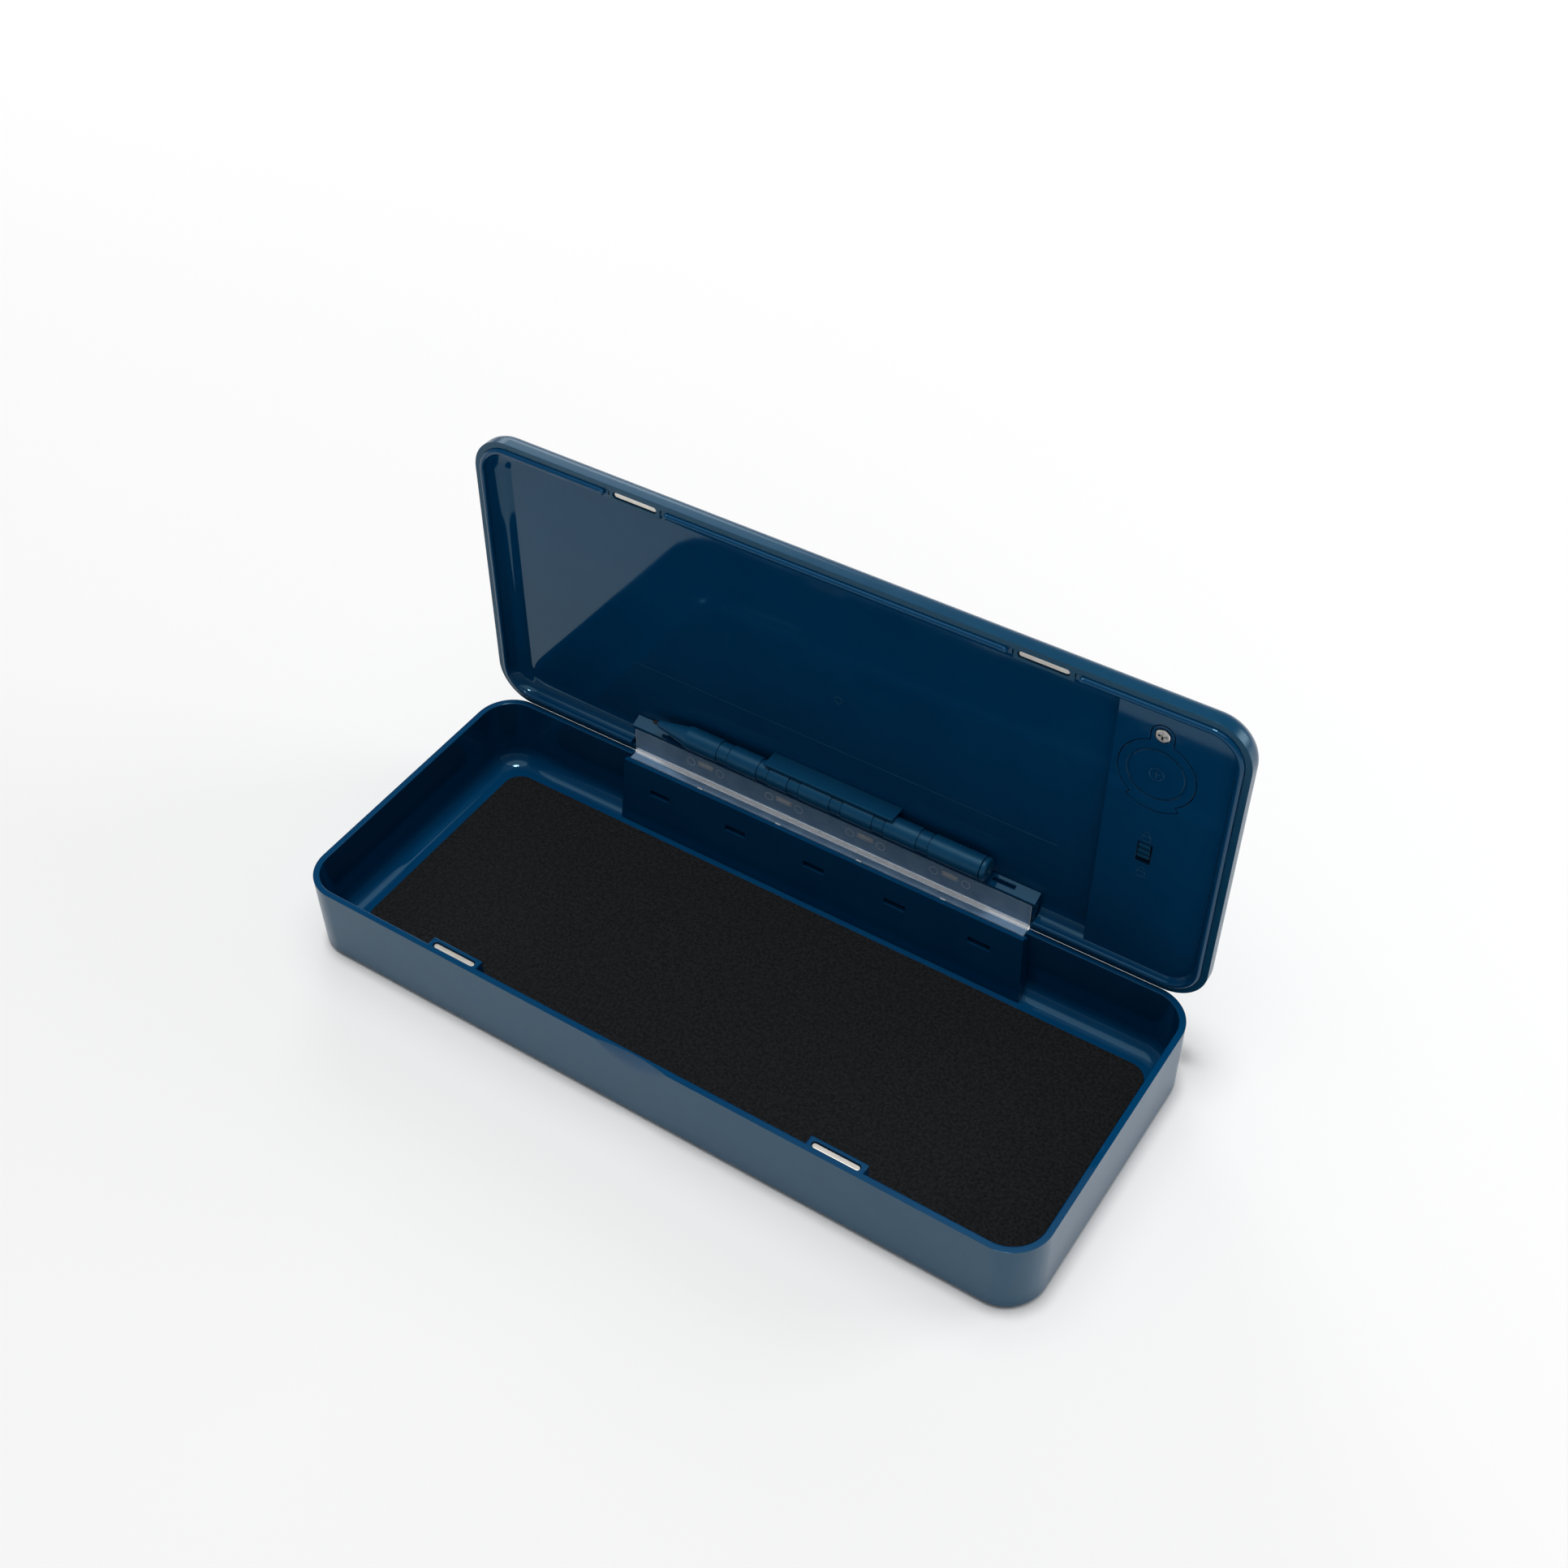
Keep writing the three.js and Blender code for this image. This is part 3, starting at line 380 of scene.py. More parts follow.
@dataclass
class Maker:
    """Places finished meshes in the frame, gives each its finish and hides the CAD nodes it stands for.

    Attributes:
        lid: where a lid piece drawn shut lies in the frame, in millimetres.
        count: pieces made so far.
    """

    lid: Matrix
    count: int = 0

    def place(
        self,
        name: str,
        shape: Surface | bpy.types.Mesh,
        finish: "Finish",
        body: str,
        slot: str,
        replaces: tuple[str, ...] = (),
        in_lid: bool = True,
    ) -> bpy.types.Object:
        """Makes a piece that rides on a body.

        Args:
            name: the piece's name.
            shape: its surface or mesh, in millimetres.
            finish: its material.
            body: the CAD body it moves with.
            slot: the record's material slot; not used.
            replaces: CAD nodes it stands for.
            in_lid: whether it is drawn in the shut lid's frame.

        Returns:
            The piece.
        """
        mesh = shape if isinstance(shape, bpy.types.Mesh) else mesh_of(name, shape)
        mesh.name = name
        mesh.transform(Matrix.Scale(MM, 4) @ (self.lid if in_lid else Matrix.Identity(4)))
        mesh.shade_smooth()
        mesh.set_sharp_from_angle(angle=SHARP_ANGLE)
        mesh.materials.clear()
        mesh.materials.append(finish.material())
        piece = bpy.data.objects.new(name, mesh)
        bpy.context.collection.objects.link(piece)
        even = piece.modifiers.new("even_normals", "WEIGHTED_NORMAL")
        even.keep_sharp = True
        if body:
            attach(piece, body)
        if replaces:
            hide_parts(*replaces)
        self.count += 1
        LOG.info("%s: %d faces on %s", name, len(mesh.polygons), body or "two bodies")
        return piece


# ------------------------------------------------------------------ finishes
def linear(code: str) -> tuple[float, float, float, float]:
    """Turns an sRGB hex value into the linear colour that a shader takes.

    Args:
        code: six hex digits after a hash.

    Returns:
        Red, green, blue and an alpha of one.
    """
    parts = [int(code[i : i + 2], 16) / 255 for i in (1, 3, 5)]
    red, green, blue = [p / 12.92 if p <= 0.04045 else ((p + 0.055) / 1.055) ** 2.4 for p in parts]
    return (red, green, blue, 1.0)


def add_node(
    tree: bpy.types.NodeTree, kind: str, settings: dict[str, object], links: dict[str, object]
) -> bpy.types.Node:
    """Adds a shader node.

    Args:
        tree: the material's nodes.
        kind: the node's type name.
        settings: values by socket name, or by property name with a dot in front.
        links: output sockets by the name of the input that they feed.

    Returns:
        The node.
    """
    node = tree.nodes.new(kind)
    for name, value in settings.items():
        if name.startswith("."):
            setattr(node, name[1:], value)
        else:
            node.inputs[name].default_value = value
    for name, output in links.items():
        tree.links.new(output, node.inputs[name])
    return node


@dataclass(frozen=True)
class Finish:
    """A finish with a fine grain, a slow ripple and softened edges.

    Attributes:
        name: the material's common name and how its surface was made.
        colour: sRGB hex of its main colour.
        shade: sRGB hex that its colour drifts towards.
        roughness: middle value of its gloss.
        spread: how far the gloss wanders either way.
        metallic: one for metal.
        ior: index of refraction.
        grain: size of its grain in millimetres.
        grain_depth: how deep the grain reads, in millimetres.
        ripple: size of the slow unevenness in millimetres.
        ripple_depth: its depth in millimetres.
        edge: radius that softens its edges in the light, in millimetres.
        clear: share of light that passes through.
        tint: sRGB hex that a head-on reflection is tinted with.
        gleam: strength of the reflection, a half for a closed surface and less for an open-pored one.
    """

    name: str
    colour: str
    shade: str
    roughness: float
    spread: float = 0.02
    metallic: float = 0.0
    ior: float = 1.5
    grain: float = 0.3
    grain_depth: float = 0.0
    ripple: float = 12.0
    ripple_depth: float = 0.0
    edge: float = 0.0
    clear: float = 0.0
    tint: str = "#ffffff"
    gleam: float = 0.5

    def noise(self, tree: bpy.types.NodeTree, size: float, detail: float) -> bpy.types.NodeSocket:
        """A noise whose features are the given size in millimetres, on Object coordinates."""
        place = add_node(tree, "ShaderNodeTexCoord", {}, {})
        settings = {"Scale": 1 / (size * MM), "Detail": detail, "Roughness": 0.55}
        node = add_node(tree, "ShaderNodeTexNoise", settings, {"Vector": place.outputs["Object"]})
        return node.outputs["Fac"]

    def normal(
        self, tree: bpy.types.NodeTree, grain: bpy.types.NodeSocket, ripple: bpy.types.NodeSocket
    ) -> bpy.types.NodeSocket | None:
        """The surface direction after softened edges, ripple and grain.

        Args:
            tree: the material's nodes.
            grain: the fine noise.
            ripple: the slow noise.

        Returns:
            The last node's normal, or None where the finish is plain.
        """
        last = None
        if self.edge:
            settings = {"Radius": self.edge * MM, ".samples": 4}
            last = add_node(tree, "ShaderNodeBevel", settings, {}).outputs["Normal"]
        for depth, height in ((self.ripple_depth, ripple), (self.grain_depth, grain)):
            if depth:
                links = {"Height": height} | ({"Normal": last} if last else {})
                bump = add_node(tree, "ShaderNodeBump", {"Distance": depth * MM, "Strength": 1.0}, links)
                last = bump.outputs["Normal"]
        return last

    def material(self) -> bpy.types.Material:
        """Makes the material the first time, and returns the same one afterwards."""
        found = bpy.data.materials.get(self.name)
        if found:
            return found
        material = bpy.data.materials.new(self.name)
        material.use_nodes = True
        tree = material.node_tree
        shader = tree.nodes["Principled BSDF"]
        grain = self.noise(tree, self.grain, 3.0)
        ripple = self.noise(tree, self.ripple, 2.0)
        ends = {"Color1": linear(self.colour), "Color2": linear(self.shade)}
        drift = add_node(tree, "ShaderNodeMapRange", {"From Min": 0.35, "From Max": 0.65}, {"Value": ripple})
        mix = add_node(tree, "ShaderNodeMixRGB", ends, {"Fac": drift.outputs["Result"]})
        low, high = self.roughness - self.spread, self.roughness + self.spread
        gloss = add_node(tree, "ShaderNodeMapRange", {"To Min": low, "To Max": high}, {"Value": ripple})
        tree.links.new(mix.outputs["Color"], shader.inputs["Base Color"])
        tree.links.new(gloss.outputs["Result"], shader.inputs["Roughness"])
        shader.inputs["Metallic"].default_value = self.metallic
        shader.inputs["IOR"].default_value = self.ior
        shader.inputs["Alpha"].default_value = 1 - self.clear
        shader.inputs["Specular Tint"].default_value = linear(self.tint)
        shader.inputs["Specular IOR Level"].default_value = self.gleam
        normal = self.normal(tree, grain, ripple)
        if normal:
            tree.links.new(normal, shader.inputs["Normal"])
        return material


# ABS moulded against a fine-etched tool: an even navy that goes milky where it faces the light.
SATIN_NAVY = Finish(
    "moulded_abs_satin_navy", "#073f5f", "#094262", 0.26, 0.03,
    grain=0.35, grain_depth=0.003, edge=0.2, tint=COOL,
)
# The same ABS against a polished tool: deep colour, mirror-like, with the slow ripple of moulding.
GLOSS_NAVY = Finish(
    "moulded_abs_gloss_navy", "#013a62", "#023d65", 0.05, 0.015,
    ripple=16, ripple_depth=0.012, edge=0.2, tint=COOL,
)
# The stylus is the same plastic off a plainer tool, duller than the panel behind it.
STYLUS_NAVY = Finish("moulded_abs_stylus_navy", "#0a456a", "#0b486d", 0.34, 0.03, edge=0.08, tint=COOL)
# Clear polypropylene flap: a pale grey-blue haze and a gloss over the navy beneath.
CLEAR_STRIP = Finish("clear_polypropylene_strip", "#8db2d6", "#9cbfe0", 0.12, 0.04, ripple=5, clear=0.48)
# The snap tabs, thicker and so milkier than the flap round them, and painted paler still as a painted
# highlight for the bright windows.
TAB_AND_HIGHLIGHT = Finish("milky_tab_and_painted_highlight", "#c4d0d9", "#d2dce4", 0.25, 0.05, ripple=5, clear=0.15)
# The same plastic where the fold and the cut edges have whitened it, painted near white also as a painted
# highlight for the light that the curved fold and the lit cut edges catch.
WHITENING_AND_HIGHLIGHT = Finish("whitened_polypropylene_and_painted_highlight", "#f2f6f9", "#fdfeff", 0.3, 0.05, ripple=5)
# Closed-cell EVA: charcoal, dead matt, with a grain like fine pumice.
EVA_FOAM = Finish(
    "eva_foam_charcoal", "#030405", "#191b1f", 0.93, 0.04,
    grain=0.5, grain_depth=0.22, ripple=0.9, gleam=0.25,
)
# Nickel plate on a pressed magnet, rolled rather than polished.
NICKEL = Finish(
    "plated_nickel", "#dbd6ce", "#e6e2db", 0.36, 0.05, metallic=1.0, grain=0.2, ripple=3, edge=0.15
)
# Nickel-plated steel of the screw, brighter than the magnets.
STEEL = Finish("polished_screw_steel", "#cfcdc8", "#dcdad6", 0.2, 0.04, metallic=1.0, ripple=2, edge=0.1)
# Stamped can of the coin cell and the sprung contacts.
CELL_STEEL = Finish("stamped_cell_steel", "#bdbdbb", "#c6c6c4", 0.35, 0.06, metallic=1.0, grain=0.15, ripple=4)
# Liquid-crystal writing film: near-black, a faint green in the gloss.
SCREEN_FILM = Finish("liquid_crystal_film", "#12181a", "#161d1f", 0.16, 0.03, ior=1.55, ripple=30)
# Solder-masked board.
BOARD_GREEN = Finish("solder_mask_green", "#1b5432", "#205c38", 0.4, 0.05, ripple=3)
# Black moulded nylon of the switch body, cell ring and nib.
BLACK_NYLON = Finish("moulded_nylon_black", "#141518", "#1a1b1e", 0.45, 0.05, grain=0.2, ripple=4, edge=0.1)


# ------------------------------------------------------------------ the case
@dataclass
class Case:
    """Sizes that the tray and the lid share.

    Attributes:
        length: along X.
        width: front to back.
        height: of the tray.
        corner: corner radius in plan.
        wall: thickness of the walls.
        floor: thickness of the tray's floor.
        gap: between pieces that touch.
        edge: rounding of the rims on the inside.
        crisp: rounding of the rims on the outside, where tray and lid meet.
        reach: how far each rim runs into the gap between tray and lid.
        magnet_at: distance of each magnet from the middle.
        magnet_in: distance of a magnet's middle from the outer face.
        magnet_size: a magnet's length, width and height.
        boss_half: half the length of a magnet's boss.
        boss_reach: distance of a boss's inner face from the outer face.
        block_half: half the length of the hinge block and its cover.
        strip_half: half the length of the hinge strip.
        strip_thick: thickness of the strip's flaps.
    """

    length: float
    width: float
    height: float
    corner: float = 12.5
    wall: float = 2.0
    floor: float = 2.0
    gap: float = 0.3
    edge: float = 0.3
    crisp: float = 0.05
    reach: float = 0.14
    magnet_at: float = 65.5
    magnet_in: float = 2.9
    magnet_size: tuple[float, float, float] = (15.0, 1.8, 5.0)
    boss_half: float = 9.0
    boss_reach: float = 5.1
    block_half: float = 71.5
    strip_half: float = 70.5
    strip_thick: float = 0.8

    @property
    def front(self) -> float:
        """Y of the tray's front face."""
        return -self.width / 2

    @property
    def back(self) -> float:
        """Y of the tray's back face, where the fold is."""
        return self.width / 2

    def magnet(self, margin: float, low: float, high: float, edge: float = 0.0) -> Surface:
        """A magnet's round-ended bar, or the pocket for it.

        Args:
            margin: added all round.
            low: its lower face.
            high: its upper face.
            edge: rounding of its faces.

        Returns:
            The bar at X = Y = 0.
        """
        length, width = self.magnet_size[0] + 2 * margin, self.magnet_size[1] + 2 * margin
        if edge:
            return slab(length, width, width / 2 - HAIR, low, high, edge, 8)
        return swept(np.array([[0.0, low], [0.0, high]]), length, width, width / 2 - HAIR, 8)


@dataclass
class Tray:
    """The tray with its magnets, foam and the pocket that holds the hinge strip's leg."""

    case: Case
    foam_box: tuple[Vector, Vector]
    underside_fillet: float = 2.0
    floor_fillet: float = 6.0
    notch_width: float = 24.8
    notch_height: float = 5.5
    notch_depth: float = 1.2
    foam_corner: float = 6.0

    def blank(self) -> Surface:
        """The tray's skin: underside, outer wall, round rim, inner wall, fillet and floor."""
        case, edge, crisp = self.case, self.case.edge, self.case.crisp
        top, under, inner = case.height + case.reach, self.underside_fillet, self.floor_fillet
        profile = np.vstack(
            [
                arc((under, under), (under, under), 270, 180, 8),
                arc((crisp, top - crisp), (crisp, crisp), 180, 90, ROUND_STEPS),
                arc((case.wall - edge, top - edge), (edge, edge), 90, 0, ROUND_STEPS),
                arc((case.wall + inner, case.floor + inner), (inner, inner), 180, 270, 14),
            ]
        )
        return swept(profile, case.length, case.width, case.corner, OUTLINE_STEPS)

    def thumb_notch(self) -> Surface:
        """The scoop in the front rim: a large cylinder, tilted to run out down the wall."""
        half, depth = self.notch_width / 2, self.notch_depth
        radius = (half**2 + depth**2) / (2 * depth)
        angle = np.linspace(0, 2 * np.pi, 400, endpoint=False)
        ring = np.stack([radius * np.cos(angle), radius * np.sin(angle) - radius + depth], -1)
        tilt = math.atan(depth / self.notch_height)
        rings = []
        for along in (-20.0, 20.0):
            y, z = ring[:, 1], np.full(len(ring), along)
            turned_y = y * math.cos(tilt) + z * math.sin(tilt)
            turned_z = z * math.cos(tilt) - y * math.sin(tilt)
            rings.append(np.stack([ring[:, 0], turned_y, turned_z], -1))
        return stack(np.array(rings)).moved(0, self.case.front, self.case.height)

    def steps(self) -> list[tuple[Step, Surface]]:
        """Magnet bosses to add, and the pockets, strip seat and notch to cut."""
        case, found = self.case, []
        half, wall = case.boss_half, (case.front + 1.0, case.front + case.boss_reach)
        for side in Side:
            x = side.value * case.magnet_at
            rise = (case.floor / 2, case.height + case.reach)
            found.append((Step.ADD, block((x - half, x + half), wall, rise, case.edge)))
        for side in Side:
            x, depth = side.value * case.magnet_at, case.magnet_size[2] + 2 * case.gap
            pocket = case.magnet(0.2, case.height - depth, case.height + 1)
            found.append((Step.CUT, pocket.moved(x, case.front + case.magnet_in)))
        reach = case.strip_half + case.gap
        seat = (case.height - case.strip_thick - case.gap, case.height + 1)
        found.append((Step.CUT, block((-reach, reach), (case.back - case.wall - 1, case.back + 1), seat)))
        found.append((Step.CUT, self.thumb_notch()))
        return found

    def finish_faces(self, piece: bpy.types.Object) -> None:
        """Gives the outer walls and underside the satin finish, and leaves the rest glossy.

        A face is outside where its middle lies within a quarter of a millimetre of the outline,
        measured from the inner rectangle that the corner circles are centred on.

        Args:
            piece: the tray.
        """
        case, mesh = self.case, piece.data
        middles = np.empty(3 * len(mesh.polygons))
        mesh.polygons.foreach_get("center", middles)
        middles = middles.reshape(-1, 3) / MM
        half = np.array([case.length, case.width]) / 2 - case.corner
        beyond = np.maximum(np.abs(middles[:, :2]) - half, 0)
        outside = np.linalg.norm(beyond, axis=1) > case.corner - 0.25
        outside |= middles[:, 2] < self.underside_fillet * 0.9
        outside &= middles[:, 2] < case.height - 0.1
        mesh.materials.append(SATIN_NAVY.material())
        mesh.polygons.foreach_set("material_index", outside.astype(np.int32))

    def foam(self) -> Surface:
        """The foam: a slab with a soft upper edge and a face that swells a little in slow waves.

        The upper face is the slab's ring shrunk in steps towards its middle, lifted by a sum of
        two slow sines of under a tenth of a millimetre.
        """
        (left, front, low), (right, back, high) = (corner / MM for corner in self.foam_box)
        length, width = right - left, back - front
        side = arc((0.2, low + 0.2), (0.2, 0.2), 270, 180, 3)
        top = arc((0.7, high - 0.7), (0.7, 0.7), 180, 90, 6)
        steps = 10
        around = 4 * (steps + 1)
        body = swept(np.vstack([side, top]), length, width, self.foam_corner, steps)
        ring = body.points[-around:]
        shrink = np.linspace(1, 0.02, 24)[1:, None, None]
        face = ring[None] * np.array([1, 1, 0]) * shrink + np.array([0, 0, high])
        wave = 0.05 * np.sin(face[..., 0] / 17) * np.sin(face[..., 1] / 13 + 0.7)
        face[..., 2] += (wave - 0.05) * (1 - shrink[..., 0])
        rings = np.concatenate([body.points.reshape(-1, around, 3), face])
        return stack(rings).moved((left + right) / 2, (front + back) / 2)

    def build(self, make: Maker) -> None:
        """Makes the tray, its magnets and its foam."""
        case = self.case
        shell = worked("tray_shell", self.blank(), self.steps())
        tray = make.place("tray_shell", shell, GLOSS_NAVY, "base", "navy_satin", ("base_tray",), False)
        self.finish_faces(tray)
        top = case.height - case.gap
        for side in Side:
            bar = case.magnet(0, top - case.magnet_size[2], top, 0.25)
            bar = bar.moved(side.value * case.magnet_at, case.front + case.magnet_in)
            name = f"tray_magnet_{side.name.lower()}"
            make.place(name, bar, NICKEL, "base", "nickel", (f"base_magnet_{side.name.lower()}",), False)
        foam = make.place("foam_pad", self.foam(), EVA_FOAM, "base", "eva_foam", ("foam_liner",), False)


@dataclass
class HingeStrip:
    """The clear strip: a flap on the tray's rim, a flap on the lid, and the fold between."""

    case: Case
    lower_reach: float = 3.4
    upper_reach: float = 9.1
    inset: float = 0.1
    window: tuple[float, float] = (5.5, 1.8)
    window_at: tuple[float, ...] = (-43.65, -14.55, 14.55, 43.65)
    window_from_fold: float = 6.5
    mark_aside: float = 5.4
    mark_radius: float = 1.4
    line: float = 0.06
    fold_reach: float = 0.4
    leg_depth: tuple[float, float] = (13.0, 26.9)

    def lower(self) -> bpy.types.Mesh:
        """The lower flap and its leg, which stands in the pocket behind the cover."""
        case, half = self.case, self.case.strip_half
        top = case.height
        back = case.back - self.inset
        flap = block((-half, half), (case.back - self.lower_reach, back), (top - case.strip_thick, top), 0.2)
        inside = half - 1.7
        leg = block((-inside, inside), (case.back - self.lower_reach, case.back - 2.3), self.leg_depth, 0.2)
        return worked("hinge_flap_lower", flap, [(Step.ADD, leg)])

    def upper(self) -> bpy.types.Mesh:
        """The upper flap with its snap windows."""
        half, u = self.case.strip_half, self.window_from_fold
        flap = block((-half, half), (-self.upper_reach, -self.inset), (0, self.case.strip_thick), 0.15)
        wide, tall = self.window[0] / 2, self.window[1] / 2
        steps = []
        for x in self.window_at:
            steps.append((Step.CUT, block((x - wide, x + wide), (-u - tall, -u + tall), (-1, 2))))
        return worked("hinge_flap_upper", flap, steps)

    def marks(self) -> Surface:
        """The window edges, whitened and painted white also as the highlight their lit edges catch, the round
        ejector marks beside them and the flap's end edges.
        """
        wide, tall, u = self.window[0] / 2, self.window[1] / 2, self.window_from_fold
        found = []
        for x in self.window_at:
            window = rounded_ring(*(np.array([v]) for v in (2 * wide, 2 * tall, 0.5)), 4)[0] + [x, -u]
            found.append(bead(window, self.line, 0.02, True))
            for aside in (-self.mark_aside, self.mark_aside):
                ring = circle_path(self.mark_radius, x + aside, 0.6 - u)
                found.append(bead(ring, 0.7 * self.line, 0.0, True))
        for end in (-self.case.strip_half, self.case.strip_half):
            path = np.linspace([end, -self.upper_reach + 0.2], [end, -self.inset - 0.2], 12)
            found.append(bead(path, self.line, 0.1))
        return found[0].with_others(*found[1:])

    def front_marks(self) -> Surface:
        """Short white nicks along the lower flap's front edge, one below each window."""
        y, z = self.case.back - self.lower_reach, self.case.height - 0.1
        across, rise = (y - 0.05, y + 0.25), (z - 0.25, z + 0.13)
        nicks = [block((x - 0.9, x + 0.9), across, rise, 0.05) for x in self.window_at]
        return nicks[0].with_others(*nicks[1:])

    def tabs(self) -> Surface:
        """The snap tabs that fill the windows, painted pale partly as a painted highlight for the lit windows.
        """
        wide, tall, u = self.window[0] / 2 - 0.3, self.window[1] / 2 - 0.3, self.window_from_fold
        across, rise = (-u - tall, -u + tall), (-0.02, 1.2)
        tabs = [block((x - wide, x + wide), across, rise, 0.1) for x in self.window_at]
        return tabs[0].with_others(*tabs[1:])

    def fold(self, lid: Matrix) -> Surface:
        """The fold: a thin cove from the rim to the lid, bent along a quadratic curve.

        Its section is a curve between a point on the lower flap and one on the upper flap, given
        thickness along the arc's normal, and it runs straight along X.

        Args:
            lid: the lid's place in the frame, in millimetres.

        Returns:
            The closed sheet, in the frame.
        """
        case, half, reach = self.case, self.case.strip_half, self.fold_reach
        start = np.array([case.back - reach, case.height + 0.02])
        end = np.array((lid @ Vector((0, -reach, -0.02)))[1:3])
        corner = np.array([case.back - 0.15, case.height + 0.12])
        t = np.linspace(0, 1, 13)[:, None]
        section = (1 - t) ** 2 * start + 2 * t * (1 - t) * corner + t**2 * end
        along = np.gradient(section, axis=0)
        along /= np.linalg.norm(along, axis=1)[:, None]
        outward = np.stack([along[:, 1], -along[:, 0]], -1)
        ring = np.vstack([section, (section + 0.12 * outward)[::-1]])
        stations = 61
        x = np.broadcast_to(np.linspace(-half, half, stations)[:, None, None], (stations, len(ring), 1))
        rings = np.concatenate([x, np.broadcast_to(ring, (stations, *ring.shape))], -1)
        return stack(rings[::-1])

    def build(self, make: Maker) -> None:
        """Makes both flaps, the tabs and the fold between tray and lid, drawn bent where the lid stands open.
        """
        flap = self.lower()
        nodes = ("hinge_strip_lower",)
        make.place("hinge_flap_lower", flap, CLEAR_STRIP, "base", "clear_strip", nodes, False)
        flap = self.upper()
        make.place("hinge_flap_upper", flap, CLEAR_STRIP, "lid", "clear_strip", ("hinge_strip_upper",))
        # The window and end edges are painted white, partly real whitening and partly a painted highlight on
        # the lit edges.
        make.place("hinge_flap_marks", self.marks(), WHITENING_AND_HIGHLIGHT, "lid", "clear_strip")
        make.place("hinge_flap_nicks", self.front_marks(), WHITENING_AND_HIGHLIGHT, "base", "clear_strip", (), False)
        # The tabs are painted pale: partly milkier plastic, partly a painted highlight in the windows.
        make.place("hinge_snap_tabs", self.tabs(), TAB_AND_HIGHLIGHT, "lid", "clear_strip")
        # The fold is painted near white: partly its real whitening, partly a painted highlight along its
        # curve.
        fold = make.place("hinge_fold", self.fold(make.lid), WHITENING_AND_HIGHLIGHT, "", "clear_strip", (), False)
        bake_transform(fold)


def surface_of(mesh: bpy.types.Mesh) -> Surface:
    """Reads a mesh back as a surface.

    Args:
        mesh: a mesh in millimetres.

    Returns:
        Its points and faces.
    """
    points = np.empty(3 * len(mesh.vertices))
    mesh.vertices.foreach_get("co", points)
    return Surface(points.reshape(-1, 3), [list(p.vertices) for p in mesh.polygons])


